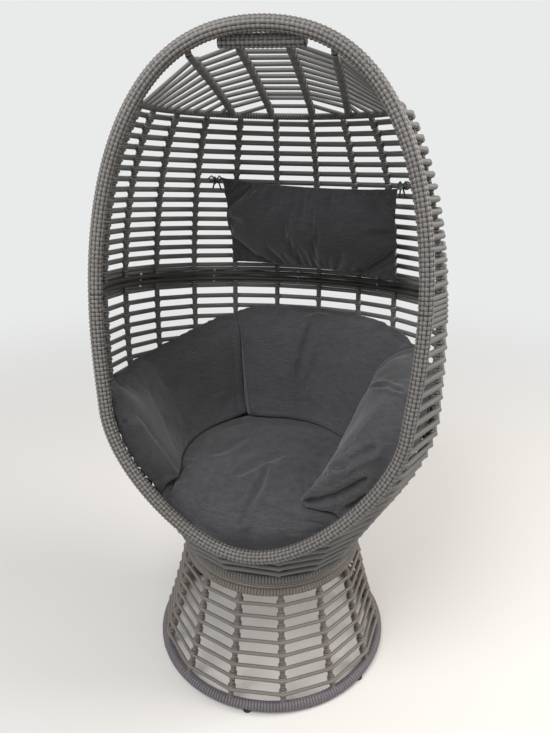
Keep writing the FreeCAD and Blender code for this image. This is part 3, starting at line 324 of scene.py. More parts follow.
# %% Coated steel, plated steel, moulded plastic
def coated(name, hex_colour, rough, metal=0.0, grain=260.0, depth=0.0002):
    """Powder coat, zinc plate or moulded plastic: one colour with a fine grain."""
    material, tree, place = start_material(name)
    peel = add(tree, "ShaderNodeTexNoise", Vector=place, Scale=grain, Detail=2.0).outputs["Fac"]
    worn = add(tree, "ShaderNodeMapRange", Value=peel, From_Min=0.3, From_Max=0.7, To_Min=rough - 0.08,
               To_Max=rough + 0.08)
    surface(tree, linear(hex_colour), worn.outputs[0], peel, 0.3, depth, Metallic=metal)
    return material


steel_coat = coated("powder_coated_steel", "#3a3937", 0.5)
zinc_plate = coated("zinc_plated_steel", "#b4b6b8", 0.35, metal=1.0, grain=900.0, depth=0.00005)
black_nylon = coated("moulded_nylon", "#1b1b1c", 0.6)
print("hard finishes:", steel_coat.name, zinc_plate.name, black_nylon.name)


# %% Woven cloth
def cloth(name, dark, light, yarn_step=0.0016):
    """Woven polyester cover. The yarns are 0.5 mm apart, and drawn 1.6 mm apart so that they show. Thicker
    yarns, the slubs, run level round the cushions."""
    material, tree, place = start_material(name)
    spread = add(tree, "ShaderNodeTexNoise", Vector=place, Scale=6.0, Detail=2.0).outputs["Fac"]
    fibre = add(tree, "ShaderNodeTexNoise", Vector=place, Scale=0.6 / yarn_step, Detail=3.0,
                Roughness=0.8).outputs["Fac"]
    slub = add(tree, "ShaderNodeMapping", {"vector_type": "POINT"}, Vector=place, Scale=(40.0, 40.0, 420.0))
    slub = add(tree, "ShaderNodeTexNoise", Vector=slub.outputs[0], Scale=1.0, Detail=2.0).outputs["Fac"]
    mixed = add(tree, "ShaderNodeMath", {"operation": "MULTIPLY_ADD"}, i0=slub, i1=0.5, i2=fibre).outputs[0]
    mixed = add(tree, "ShaderNodeMath", {"operation": "MULTIPLY_ADD"}, i0=spread, i1=0.3, i2=mixed).outputs[0]
    share = add(tree, "ShaderNodeMapRange", Value=mixed, From_Min=0.65, From_Max=1.15).outputs[0]
    colour = add(tree, "ShaderNodeMix", {"data_type": "RGBA"}, i0=share, i6=linear(dark), i7=linear(light))
    surface(tree, colour.outputs[2], 0.92, mixed, 0.45, 0.0008, Sheen_Weight=0.3, Sheen_Roughness=0.45,
            Specular_IOR_Level=0.2)
    return material


cushion_cloth = cloth("woven_polyester_charcoal", "#353536", "#545456")
pillow_cloth = cloth("woven_polyester_black", "#242425", "#3b3b3d")
print("cloths:", cushion_cloth.name, "and", pillow_cloth.name)

# %% Finishes of the nodes that stay
finish_of = {"plated_steel": zinc_plate, "coated_steel": steel_coat, "glide_plastic": black_nylon,
             "pod_weave": pod_wicker, "base_weave": base_wicker, "cushion_cloth": cushion_cloth,
             "pillow_cloth": pillow_cloth}
for part in frame["record"]["subparts"]:
    kept = nodes[part["node"]]
    kept.data.materials.clear()
    kept.data.materials.append(finish_of[part["material_slot"]])
print("the nodes that stay have", len(finish_of), "finishes")

# %% [markdown]
# ## Strands and windings
# Two Geometry Nodes trees make the whole weave. One sweeps a round strand along each path. The other
# winds a strip round each path, turn by turn: it spaces points along the path and puts one flattened
# ring on every point, square to the path. Paths are meshes of bare edges, made from the egg's formula.


# %% Paths
def paths_object(name, paths):
    """An object whose mesh has the paths as chains of edges. A path is (points, closed)."""
    points, edges = [], []
    for path_points, closed in paths:
        first = len(points)
        points += [tuple(p) for p in path_points]
        edges += [(i, i + 1) for i in range(first, len(points) - 1)]
        if closed:
            edges.append((len(points) - 1, first))
    mesh = bpy.data.meshes.new(name)
    mesh.from_pydata(points, edges, [])
    return placed(name, mesh)


# %% A tree's first and last nodes
def new_tree(name, **inputs):
    """An empty Geometry Nodes tree with a geometry in and out, and the named inputs."""
    tree = bpy.data.node_groups.new(name, "GeometryNodeTree")
    tree.interface.new_socket("Geometry", in_out="INPUT", socket_type="NodeSocketGeometry")
    tree.interface.new_socket("Geometry", in_out="OUTPUT", socket_type="NodeSocketGeometry")
    for key, kind in inputs.items():
        tree.interface.new_socket(key.replace("_", " "), in_out="INPUT", socket_type="NodeSocket" + kind)
    return tree, tree.nodes.new("NodeGroupInput"), tree.nodes.new("NodeGroupOutput")


def ended(tree, shape, given, result):
    """The last nodes of a tree: plain geometry, smooth, with its finish."""
    real = add(tree, "GeometryNodeRealizeInstances", Geometry=shape.outputs[0])
    smooth = add(tree, "GeometryNodeSetShadeSmooth", Geometry=real.outputs[0])
    done = add(tree, "GeometryNodeSetMaterial", Geometry=smooth.outputs[0], Material=given.outputs["Finish"])
    tree.links.new(done.outputs[0], result.inputs[0])
    return tree


# %% The round strand
def strand_tree():
    tree, given, result = new_tree("round_strand", Radius="Float", Sides="Int", Sway="Float",
                                   Finish="Material")
    place = add(tree, "GeometryNodeInputPosition").outputs[0]
    drift = add(tree, "ShaderNodeTexNoise", Vector=place, Scale=25.0, Detail=0.0).outputs["Color"]
    drift = add(tree, "ShaderNodeVectorMath", {"operation": "SUBTRACT"}, i0=drift, i1=(0.5, 0.5, 0.5))
    drift = add(tree, "ShaderNodeVectorMath", {"operation": "SCALE"}, i0=drift.outputs[0],
                Scale=given.outputs["Sway"])
    moved = add(tree, "GeometryNodeSetPosition", Geometry=given.outputs["Geometry"], Offset=drift.outputs[0])
    curve = add(tree, "GeometryNodeMeshToCurve", Mesh=moved.outputs[0]).outputs[0]
    profile = add(tree, "GeometryNodeCurvePrimitiveCircle", Resolution=given.outputs["Sides"],
                  Radius=given.outputs["Radius"]).outputs[0]
    swept = add(tree, "GeometryNodeCurveToMesh", Curve=curve, Profile_Curve=profile, Fill_Caps=True)
    return ended(tree, swept, given, result)


# %% The wound strip
def winding_tree():
    tree, given, result = new_tree("wound_strip", Radius="Float", Pitch="Float", Thickness="Float",
                                   Width="Float", Sides="Int", Lean="Float", Finish="Material")
    curve = add(tree, "GeometryNodeMeshToCurve", Mesh=given.outputs["Geometry"]).outputs[0]
    spaced = add(tree, "GeometryNodeResampleCurve", {"mode": "LENGTH"}, Curve=curve,
                 Length=given.outputs["Pitch"]).outputs[0]
    circle = add(tree, "GeometryNodeCurvePrimitiveCircle", Resolution=given.outputs["Sides"],
                 Radius=given.outputs["Radius"]).outputs[0]
    section = add(tree, "GeometryNodeCurvePrimitiveCircle", Resolution=5,
                  Radius=given.outputs["Thickness"]).outputs[0]
    turn = add(tree, "GeometryNodeCurveToMesh", Curve=circle, Profile_Curve=section).outputs[0]
    stretch = add(tree, "ShaderNodeMath", {"operation": "DIVIDE"}, i0=given.outputs["Width"],
                  i1=given.outputs["Thickness"]).outputs[0]
    scale = add(tree, "ShaderNodeCombineXYZ", X=1.0, Y=1.0, Z=stretch).outputs[0]
    lean = add(tree, "ShaderNodeCombineXYZ", X=given.outputs["Lean"]).outputs[0]
    turn = add(tree, "GeometryNodeTransform", Geometry=turn, Scale=scale).outputs[0]
    turn = add(tree, "GeometryNodeTransform", Geometry=turn, Rotation=lean).outputs[0]
    along = add(tree, "GeometryNodeInputTangent").outputs[0]
    square = add(tree, "FunctionNodeAlignRotationToVector", {"axis": "Z"}, Vector=along).outputs[0]
    wound = add(tree, "GeometryNodeInstanceOnPoints", Points=spaced, Instance=turn, Rotation=square)
    return ended(tree, wound, given, result)


round_strand, wound_strip = strand_tree(), winding_tree()
print("the trees have", len(round_strand.nodes), "and", len(wound_strip.nodes), "nodes")


# %% From paths to a piece
def triangles(piece):
    return sum(len(p.vertices) - 2 for p in piece.data.polygons)


def grown(thing, tree, **values):
    """Runs a tree on the object, and keeps its result as the object's plain mesh."""
    modifier = thing.modifiers.new(tree.name, "NODES")
    modifier.node_group = tree
    sockets = {s.name: s.identifier for s in tree.interface.items_tree if s.in_out == "INPUT"}
    for key, value in values.items():
        modifier[sockets[key]] = value
    evaluated = thing.evaluated_get(bpy.context.evaluated_depsgraph_get())
    mesh = bpy.data.meshes.new_from_object(evaluated)
    thing.modifiers.clear()
    mesh.name = thing.name
    thing.data = mesh
    if not mesh.materials:
        mesh.materials.append(values["Finish"])
    print(thing.name, "has", triangles(thing), "triangles")
    return thing


def handed_over(piece, body, stands_for):
    """Tells the frame what a piece rides on and which nodes it stands for."""
    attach(piece, body)
    if stands_for:
        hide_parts(*stands_for)


def strands(name, paths, body, stands_for, finish, radius, sides=8, sway=0.0):
    piece = grown(paths_object(name, paths), round_strand, Radius=radius, Sides=sides, Sway=sway,
                  Finish=finish)
    handed_over(piece, body, stands_for)


def winding(name, paths, body, stands_for, finish, radius, pitch, thickness, sides=12, lean=6.0,
            slot="pod_weave"):
    piece = grown(paths_object(name, paths), wound_strip, Radius=radius, Pitch=pitch, Thickness=thickness,
                  Width=pitch * 0.53, Sides=sides, Lean=math.radians(lean), Finish=finish)
    handed_over(piece, body, stands_for)


# %% [markdown]
# ## The rings
# The foot ring, the drum's top ring and the pod's bottom ring are steel tubes wound with wicker strip,
# about 7.5 mm to a turn. Real turns catch light on each crown, so they are modelled, not painted.


# %% Wound rings
def circle_path(radius, z, steps=360):
    turn = np.linspace(0, 2 * math.pi, steps, endpoint=False)
    return np.stack([radius * np.sin(turn), radius * np.cos(turn) + axis_y, np.full(steps, z)], 1), True


foot_radius, foot_z = 0.300, 0.016
drum_radius_top, drum_z_top = 0.222, 0.306
ring_strip = {"pitch": 0.0075, "thickness": 0.0012, "lean": 3.0}
winding("foot_ring_winding", [circle_path(foot_radius, foot_z)], "base", ["foot_ring_wrap"], foot_wicker,
        0.0118, sides=20, slot="base_weave", **ring_strip)
winding("drum_ring_winding", [circle_path(drum_radius_top, drum_z_top)], "base", ["base_ring_wrap"],
        base_wicker, 0.0098, sides=18, slot="base_weave", **ring_strip)
winding("pod_ring_winding", [circle_path(ring_radius, ring_z)], "pod", ["pod_ring_wrap"], pod_wicker,
        0.0108, sides=18, **ring_strip)

# %% [markdown]
# ## The drum
# Fourteen rods flare from the top ring to the foot ring. Each is wound with strip, and eight rows of
# round strand run outside them. A strand is pulled taut, so it runs straight from rod to rod, and it
# takes two tight turns round each rod on its way. Those knots stand out as a chain up every rod.


# %% Drum rods
drum_height = drum_z_top - foot_z
flare_top, flare_foot = 0.18, 0.34
rod_count, row_count, first_turn = 14, 8, 8.6


def drum_radius(z):
    u = (drum_z_top - z) / drum_height
    rise = 3 * u ** 2 - 2 * u ** 3
    flare = flare_top * (u - 2 * u ** 2 + u ** 3) + flare_foot * (u ** 3 - u ** 2)
    return drum_radius_top * (1 - rise) + foot_radius * rise + flare * drum_height


def drum_point(z, turn, out=0.0):
    slope = (drum_radius(z + 0.001) - drum_radius(z - 0.001)) / 0.002
    share = out / math.hypot(1, slope)
    radius = drum_radius(z) + share
    angle = math.radians(turn)
    return np.array([radius * math.sin(angle), radius * math.cos(angle) + axis_y, z - share * slope])


drum_turns = [first_turn + 360 * i / rod_count for i in range(rod_count)]
drum_rows = [drum_z_top - drum_height * (i + 1) / (row_count + 1) for i in range(row_count)]
drum_rods = [([drum_point(z, t) for z in np.linspace(foot_z + 0.012, drum_z_top - 0.012, 24)], False)
             for t in drum_turns]
winding("drum_rod_winding", drum_rods, "base", ["base_ribs"], base_wicker, 0.0060, 0.0065, 0.0011,
        slot="base_weave")


# %% Drum rows and knots
def over_rods(point, bearings, half_degrees, over, beside):
    """A closed row: it rises over each rod and runs straight to the next."""
    points = []
    for bearing in bearings:
        points += [point(bearing - half_degrees, beside), point(bearing, over),
                   point(bearing + half_degrees, beside)]
    return points


over_rod, beside_rod, half_rise = 0.0101, 0.0080, 1.4
drum_strands = [(over_rods(lambda t, out: drum_point(z, t, out), drum_turns, half_rise, over_rod, beside_rod),
                 True) for z in drum_rows]
strands("drum_rows", drum_strands, "base", ["base_courses"], base_wicker, 0.0045, sway=0.0012)
neck_heights = (0.3212, 0.3293)
strands("drum_collar", [circle_path(drum_radius_top, z, 120) for z in neck_heights], "base",
        ["base_courses"], base_wicker, 0.0040)
drum_knot_half = 0.0055
drum_knots = [([drum_point(z - drum_knot_half, t), drum_point(z + drum_knot_half, t)], False)
              for z in drum_rows for t in drum_turns]
winding("drum_knots", drum_knots, "base", [], base_wicker, 0.0078, 0.0055, 0.0026, sides=14, lean=12.0,
        slot="base_weave")


# %% [markdown]
# ## The pod's rods
# The bowl and the wall have rods in upright planes through the axis, wound with strip like the drum's.


# %% Pod rods
def rod_path(plane, low, high, steps=36):
    return [egg_point(level, upright_bearing(level, plane), -rib_inset)
            for level in np.linspace(low, high, steps)], False


def rim_level_at(plane):
    return halve(ring_z, belly_z,
                 lambda level: abs(upright_bearing(level, plane)) <= rim_bearing(level) - 0.01)


bowl_rods = [rod_path(plane, ring_z + 0.012, mid_z - hoop_step - 0.008) for plane in rib_bearings]
front_rods = [rod_path(plane, ring_z + 0.012, rim_level_at(plane) - 0.008, 18) for plane in front_bearings]
wall_rods = [rod_path(plane, mid_z + hoop_step + 0.008, hood_z - 0.008) for plane in rib_bearings]
rod_strip = {"radius": 0.0060, "pitch": 0.0068, "thickness": 0.0011, "sides": 10}
winding("bowl_rod_winding", bowl_rods + front_rods, "pod", ["bowl_ribs", "front_bowl_ribs"], pod_wicker,
        **rod_strip)
winding("wall_rod_winding", wall_rods, "pod", ["wall_ribs"], pod_wicker, **rod_strip)
hoop_reach = rim_bearing(hood_z) - math.degrees(0.012 / egg_radius(hood_z))
hoop_path = [egg_point(hood_z, b, -hoop_inset) for b in np.linspace(-hoop_reach, hoop_reach, 90)]
winding("hood_hoop_winding", [(hoop_path, False)], "pod", ["hood_hoop"], pod_wicker, 0.0068, 0.0068, 0.0012,
        sides=12)

# %% [markdown]
# ## The pod's rows
# The rows run from rim to rim round the back, and all the way round below the rim. Six of them lie
# close together over the joint of the two halves.


# %% Pod rows and knots
band_pitch = 0.0117
band_levels = mid_z - band_pitch * 2.5 + band_pitch * np.arange(6)
bowl_levels = even_levels(ring_z, band_levels[0], 21)
wall_levels = even_levels(band_levels[-1], hood_z, 15)


def crossings(level, planes):
    reach = rim_bearing(level)
    found = sorted(upright_bearing(level, plane) for plane in planes)
    return [b for b in found if abs(b) < reach - 3.0]


def row_path(level, planes):
    """One row of the pod: straight from rod to rod, with both ends inside the rim."""
    spread = math.degrees(0.007 / egg_radius(level))
    points = over_rods(lambda b, out: egg_point(level, b, out), crossings(level, planes), spread,
                       strand_out, 0.0012)
    reach = rim_bearing(level)
    if reach == 180.0:
        return points, True
    reach -= math.degrees(0.006 / egg_radius(level))
    return [egg_point(level, -reach, 0.002)] + points + [egg_point(level, reach, 0.002)], False


def knot_paths(levels, planes, half):
    """A short path along the rod at every crossing, for the strand's turns round it."""
    return [([egg_point(level - half, b, -rib_inset), egg_point(level + half, b, -rib_inset)], False)
            for level in levels for b in crossings(level, planes)]


strands("bowl_rows", [row_path(level, rib_bearings + front_bearings) for level in bowl_levels], "pod",
        ["bowl_courses"], pod_wicker, strand_radius, sway=0.0016)
strands("band_rows", [row_path(level, rib_bearings) for level in band_levels], "pod", ["band_courses"],
        pod_wicker, band_radius, sway=0.0006)
strands("wall_rows", [row_path(level, rib_bearings) for level in wall_levels], "pod", ["wall_courses"],
        pod_wicker, strand_radius, sway=0.0016)
knot_half = 0.0045
knot_strip = {"radius": 0.0072, "pitch": 0.0045, "thickness": 0.0020, "lean": 12.0}
for name, levels, planes in (("bowl_knots", bowl_levels, rib_bearings + front_bearings),
                             ("wall_knots", wall_levels, rib_bearings)):
    winding(name, knot_paths(levels, planes, knot_half), "pod", [], pod_wicker, **knot_strip)

# %% [markdown]
# ## The hood
# Four rods run forward from the hoop at the back, side by side, and eleven strands arch over them.
# The hood's surface falls from the rim in front to that hoop, with a slight swell.


# %% The hood's surface
hood_offsets = (-0.140, -0.050, 0.050, 0.140)
hood_tilt = math.radians(tilt_degrees[-1])
rim_levels = rim_low + (rim_high - rim_low) * (1 - np.cos(np.linspace(0, math.pi, 401))) / 2
rim_half = np.array([egg_point(level, rim_bearing(level)) - [0, axis_y, 0] for level in rim_levels])
rim_half[[0, -1], 0] = 0.0
rim_above = rim_half[rim_half[:, 2] > rim_front_z][::-1]
slope = (egg_radius(hood_z + 0.0005) - egg_radius(hood_z - 0.0005)) / 0.001
hood_radius = egg_radius(hood_z) - hoop_inset / math.hypot(1, slope)
hood_height = hood_z + hoop_inset / math.hypot(1, slope) * slope
hood_half, front_drop, hood_swell, hood_lift = 0.250, 0.020, 0.008, 0.0101
print("the hood's hoop has a radius of", round(hood_radius, 3), "m")


def hood_surface(x, y):
    """The height of the hood at x to the side and y behind the axis."""
    back = math.sqrt(max(hood_radius ** 2 - x ** 2, 0.0))
    back_y, back_z = back * math.cos(hood_tilt), hood_height - back * math.sin(hood_tilt)
    fade = max(1 - (abs(x) / hood_half) ** 4, 0.0)
    front_z = np.interp(abs(x), rim_above[:, 0], rim_above[:, 2])
    forward = (back_y - y) / (back_y - rim_plane_y(front_z))
    fall = (front_z - front_drop * fade - back_z) * forward
    return back_z + fall + hood_swell * fade * 4 * forward * (1 - forward)


def hood_steepness(x, y):
    along = (hood_surface(x + 0.001, y) - hood_surface(x - 0.001, y)) / 0.002
    across = (hood_surface(x, y + 0.001) - hood_surface(x, y - 0.001)) / 0.002
    return math.sqrt(1 + along ** 2 + across ** 2)


# %% Hood rods
hood_rods = []
for x in hood_offsets:
    back_y = math.sqrt(hood_radius ** 2 - x ** 2) * math.cos(hood_tilt) - 0.010
    rim_z = np.interp(abs(x), rim_above[:, 0], rim_above[:, 2])
    ends_at_bar = abs(x) < 0.1
    front_y = rim_plane_y(rim_z) + (0.034 if ends_at_bar else 0.014)
    last = [] if ends_at_bar else [(x, rim_plane_y(rim_z) + axis_y, rim_z - 0.006)]
    hood_rods.append(([(x, y + axis_y, hood_surface(x, y)) for y in np.linspace(back_y, front_y, 20)] + last,
                      False))
winding("hood_rod_winding", hood_rods, "pod", ["hood_ribs"], pod_wicker, **rod_strip)

# %% Hood strands and knots
hood_paths, hood_knots = [], []
for y in np.linspace(0.232, -0.045, 11):
    end_x = math.sqrt(hood_radius ** 2 - (y / math.cos(hood_tilt)) ** 2)
    end_z = hood_height - y * math.tan(hood_tilt)
    lift = max(hood_lift * hood_steepness(abs(x), y) / (1 - (abs(x) / end_x) ** 6) for x in hood_offsets
               if abs(x) < end_x)
    points = [(-end_x + 0.004, y + axis_y, end_z + 0.003)]
    for x in hood_offsets:
        if abs(x) < end_x - 0.01:
            z = hood_surface(x, y) + lift * (1 - (abs(x) / end_x) ** 6)
            points += [(x + step, y + axis_y, z - abs(step) / 6) for step in (-0.006, 0, 0.006)]
            rise = (hood_surface(x, y - knot_half) - hood_surface(x, y + knot_half)) / 2
            hood_knots.append(([(x, y + knot_half + axis_y, hood_surface(x, y) - rise),
                                (x, y - knot_half + axis_y, hood_surface(x, y) + rise)], False))
    points.append((end_x - 0.004, y + axis_y, end_z + 0.003))
    hood_paths.append((points, False))
strands("hood_rows", hood_paths, "pod", ["hood_strands"], pod_wicker, 0.0045, sway=0.0016)
winding("hood_knots", hood_knots, "pod", [], pod_wicker, **knot_strip)

# %% [markdown]
# ## The rim and the crown bar
# Both tubes are covered with a basket weave: strips run along the tube, and others cross over and
# under them. The skin is a tube whose surface is lifted by that rule, cell by cell, so every cell
# catches light. Each point also stores how deep it lies, and the wicker is darker there: painted
# shade for the crevices between the strips, with some dust.

# %% Basket weave on a tube
rim_line = np.concatenate([rim_half, rim_half[-2:0:-1] * [-1, 1, 1]]) + [0, axis_y, 0]
closed_line = np.concatenate([rim_line, rim_line[:1]])
rim_lengths = np.concatenate([[0.0], np.cumsum(np.linalg.norm(np.diff(closed_line, axis=0), axis=1))])
rim_total = rim_lengths[-1]
print("the rim is", round(rim_total, 3), "m long")


def rim_point(length):
    length = np.mod(length, rim_total)
    return np.stack([np.interp(length, rim_lengths, closed_line[:, k]) for k in range(3)], -1)


def turned_out(mesh, weld=0.0):
    """Turns a mesh's faces outwards, after the points that lie closer than weld are joined."""
    shape = bmesh.new()
    shape.from_mesh(mesh)
    if weld:
        bmesh.ops.remove_doubles(shape, verts=shape.verts, dist=weld)
    bmesh.ops.recalc_face_normals(shape, faces=shape.faces)
    shape.to_mesh(mesh)
    shape.free()


def basket_tube(name, point_at, start, end, square_to, core, lift, cell, columns, finish, node):
    """A tube along point_at from start to end, with the basket weave's relief."""
    points_per_cell = 5
    around = columns * points_per_cell
    steps = int(round((end - start) / cell)) * points_per_cell
    lengths = np.linspace(start, end, steps + 1)
    middle = point_at(lengths)
    ahead = point_at(lengths + 0.004) - point_at(lengths - 0.004)
    ahead /= np.linalg.norm(ahead, axis=1)[:, None]
    side = np.cross(ahead, square_to)
    turn = np.linspace(0, 2 * math.pi, around, endpoint=False)
    u, v = np.meshgrid((lengths - start) / cell, turn / (2 * math.pi) * columns, indexing="ij")
    odd = (np.floor(u + 1e-6) + np.floor(v + 1e-6)) % 2
    bow_u, bow_v = np.abs(np.sin(math.pi * u)), np.abs(np.sin(math.pi * v))
    over = np.where(odd > 0, bow_v ** 0.45 * (0.35 + 0.65 * bow_u), bow_u ** 0.45 * (0.35 + 0.65 * bow_v))
    radius = core + lift * over
    offset = side[:, None, :] * np.cos(turn)[None, :, None] + square_to * np.sin(turn)[None, :, None]
    points = (middle[:, None, :] + offset * radius[:, :, None]).reshape(-1, 3)
    faces = [(i * around + j, i * around + (j + 1) % around, (i + 1) * around + (j + 1) % around,
              (i + 1) * around + j) for i in range(steps) for j in range(around)]
    faces += [tuple(range(around))[::-1], tuple(steps * around + j for j in range(around))]
    mesh = bpy.data.meshes.new(name)
    mesh.from_pydata(points.tolist(), [], faces)
    turned_out(mesh)
    # The depth tells the wicker where to paint shade between the strips.
    mesh.attributes.new("depth", "FLOAT", "POINT").data.foreach_set("value", (1 - over).reshape(-1))
    mesh.materials.append(finish)
    mesh.polygons.foreach_set("use_smooth", [True] * len(mesh.polygons))
    piece = placed(name, mesh)
    handed_over(piece, "pod", [node])
    print(name, "has", triangles(piece), "triangles")


# %% Rim halves and crown bar
mid_seam = np.interp(mid_z, rim_levels, rim_lengths[:len(rim_levels)])
rim_normal = np.array([0.0, -math.cos(rim_lean), math.sin(rim_lean)])
for name, start, end in (("lower_rim", -mid_seam, mid_seam), ("upper_rim", mid_seam, rim_total - mid_seam)):
    basket_tube(name + "_braid", rim_point, start, end - 0.001, rim_normal, 0.0128, 0.0030, 0.0092, 10,
                rim_wicker, name + "_wrap")

bar_half, bar_back, bar_z = 0.170, 0.028, pole_z - 0.027
bar_radius = (bar_half ** 2 + bar_back ** 2) / (2 * bar_back)


def bar_point(length):
    """A point of the crown bar's flat arc, by its length from the bar's middle."""
    turn = length / bar_radius
    return np.stack([bar_radius * np.sin(turn),
                     rim_plane_y(bar_z) + bar_back - bar_radius * (1 - np.cos(turn)) + axis_y,
                     np.full_like(turn, bar_z)], -1)


basket_tube("crown_bar_braid", bar_point, -0.085, 0.085, np.array([0.0, 0.0, 1.0]), 0.0112, 0.0034, 0.0090, 8,
            bar_wicker, "crown_bar_wrap")

# %% [markdown]
# ## Cushions
# Each cushion is a sewn cover of woven cloth, filled with fibre. Its solid gives the place and the
# bulk. A copy of it is remeshed evenly, and its panels are drawn in between their seams. Blender's Cloth
# then blows it up with the seams held, so each panel swells back to the solid's surface and puckers.
# Where two cushions lie against each other, both keep their solid's surface. The folds that a body has
# left are pressed in afterwards along short lines.


# %% Working on a cover's points
def merged_copy(node, name):
    """A copy of a solid's mesh, with its loose triangles joined."""
    mesh = nodes[node].data.copy()
    mesh.name = name
    turned_out(mesh, weld=0.00005)
    return placed(name, mesh)


def applied(piece):
    """Turns a piece's modifiers into plain mesh."""
    evaluated = piece.evaluated_get(bpy.context.evaluated_depsgraph_get())
    mesh = bpy.data.meshes.new_from_object(evaluated)
    piece.modifiers.clear()
    piece.data = mesh


def places(mesh):
    flat = np.empty(len(mesh.vertices) * 3)
    mesh.vertices.foreach_get("co", flat)
    return flat.reshape(-1, 3)


def normals(mesh):
    flat = np.empty(len(mesh.vertices) * 3)
    mesh.vertex_normals.foreach_get("vector", flat)
    return flat.reshape(-1, 3)


def move_to(mesh, points):
    mesh.vertices.foreach_set("co", points.reshape(-1))
    mesh.update()


# %% Seams and swelling
def seam_tree(mesh, sharp_degrees=38.0, spacing=0.004):
    """Points along a solid's sharp edges, for finding how far a point is from a seam."""
    shape = bmesh.new()
    shape.from_mesh(mesh)
    found = []
    for edge in shape.edges:
        if len(edge.link_faces) == 2 and edge.calc_face_angle(0.0) > math.radians(sharp_degrees):
            start, end = edge.verts[0].co, edge.verts[1].co
            count = max(2, int((end - start).length / spacing))
            found += [start.lerp(end, i / (count - 1)) for i in range(count)]
    shape.free()
    tree = mathutils.kdtree.KDTree(len(found))
    for i, point in enumerate(found):
        tree.insert(point, i)
    tree.balance()
    return tree


def blown(piece, held, pressure, spare, cap, frames=20):
    """Swells a cover for some frames with its held vertices pinned, and scales the swell down to a cap."""
    before = places(piece.data)
    group = piece.vertex_groups.new(name="held")
    group.add([int(i) for i in np.flatnonzero(held)], 1.0, "REPLACE")
    cloth_modifier = piece.modifiers.new("cloth", "CLOTH")
    cover = cloth_modifier.settings
    cover.quality = 4
    cover.mass = 0.3
    cover.tension_stiffness = cover.compression_stiffness = 12.0
    cover.bending_stiffness = 0.6
    cover.shrink_min = -spare
    cover.use_pressure = True
    cover.uniform_pressure_force = pressure
    cover.effector_weights.gravity = 0.0
    if held.any():
        cover.vertex_group_mass = "held"
    cloth_modifier.collision_settings.use_collision = False
    for step in range(1, frames + 1):
        bpy.context.scene.frame_set(step)
    evaluated = piece.evaluated_get(bpy.context.evaluated_depsgraph_get())
    after = places(evaluated.data)
    piece.modifiers.clear()
    piece.vertex_groups.clear()
    bpy.context.scene.frame_set(1)
    move = after - before
    length = np.linalg.norm(move, axis=1)[:, None]
    move *= min(1.0, cap / np.percentile(length, 96))
    length = np.linalg.norm(move, axis=1)[:, None]
    move_to(piece.data, before + move * np.minimum(1.0, 1.3 * cap / np.maximum(length, 1e-9)))
    print(piece.name, "swelled by", round(float(np.percentile(length, 96)) * 1000, 1), "mm in its middle")


# %% Keeping to the solid
def inside_solid(piece, solid_tree, spare=0.0002):
    """Brings every point that left the solid back to its surface, so neighbours stay clear."""
    points = places(piece.data)
    for i, point in enumerate(points):
        near, normal, _, _ = solid_tree.find_nearest(point)
        out = (mathutils.Vector(point) - near).dot(normal)
        if out > -spare:
            points[i] = near - normal * spare
    move_to(piece.data, points)


def reached_out(piece, others, most, clear=0.003, reach=0.028):
    """Spreads a pad's edge sideways towards the pads round it, and stays clear of them, as its fill does."""
    points = places(piece.data)
    for i, point in enumerate(points):
        flat = np.array([point[0], point[1] - axis_y, 0.0])
        far = np.linalg.norm(flat)
        beside = min(tree.find_nearest(point)[3] for tree in others)
        if far > 0.15 and clear < beside < reach:
            fade = min(1.0, (reach - beside) / 0.010)
            points[i] = point + flat / far * min(most, 0.8 * (beside - clear)) * fade
    move_to(piece.data, points)


# %% Folds, fill and finish
def pressed(piece, folds):
    """Presses folds into a cover. A fold is (points, width, depth, how high its lips stand)."""
    points, ways = places(piece.data), normals(piece.data)
    lip_place, lip_width = 1.7, 0.8
    for line, width, depth, lip in folds:
        line = np.array(line)
        near = np.full(len(points), 1.0)
        for i in range(len(line) - 1):
            run = line[i + 1] - line[i]
            share = np.clip((points - line[i]) @ run / (run @ run), 0, 1)
            ends = 1.0
            if i == 0:
                ends = 1 + 1.5 * np.clip(0.5 - share, 0, 1)
            if i == len(line) - 2:
                ends = ends * (1 + 1.5 * np.clip(share - 0.5, 0, 1))
            gap = np.linalg.norm(points - line[i] - share[:, None] * run, axis=1) * ends
            near = np.minimum(near, gap)
        reach = near / width
        push = lip * np.exp(-((reach - lip_place) / lip_width) ** 2) - depth * np.exp(-reach ** 2)
        points = points + ways * push[:, None]
    move_to(piece.data, points)


def lumpy(piece, size, height, free):
    """The uneven fill: long, low swellings that don't repeat, where the cover is free to move."""
    points, ways = places(piece.data), normals(piece.data)
    push = np.array([mathutils.noise.noise(mathutils.Vector(p / size)) - 0.45 for p in points])
    move_to(piece.data, points + ways * (push * height * free)[:, None])


def rounded(piece, share, rounds):
    """Smooths a cover where its share is above 0, as the fill rounds off a sewn corner."""
    mesh = piece.data
    ends = np.empty(len(mesh.edges) * 2, int)
    mesh.edges.foreach_get("vertices", ends)
    a, b = ends.reshape(-1, 2).T
    count = np.bincount(a, minlength=len(share)) + np.bincount(b, minlength=len(share))
    points = places(mesh)
    for _ in range(rounds):
        total = np.zeros_like(points)
        np.add.at(total, a, points[b])
        np.add.at(total, b, points[a])
        points += (total / count[:, None] - points) * (0.6 * share)[:, None]
    move_to(mesh, points)


def made_finer(piece):
    finer = piece.modifiers.new("finer", "SUBSURF")
    finer.levels = finer.render_levels = 1
    applied(piece)


def covered(piece, node, finish):
    """Gives a finished cushion its cloth and hands it over."""
    piece.data.materials.clear()
    piece.data.materials.append(finish)
    piece.data.polygons.foreach_set("use_smooth", [True] * len(piece.data.polygons))
    handed_over(piece, "pod", [node])
    print(piece.name, "has", triangles(piece), "triangles")


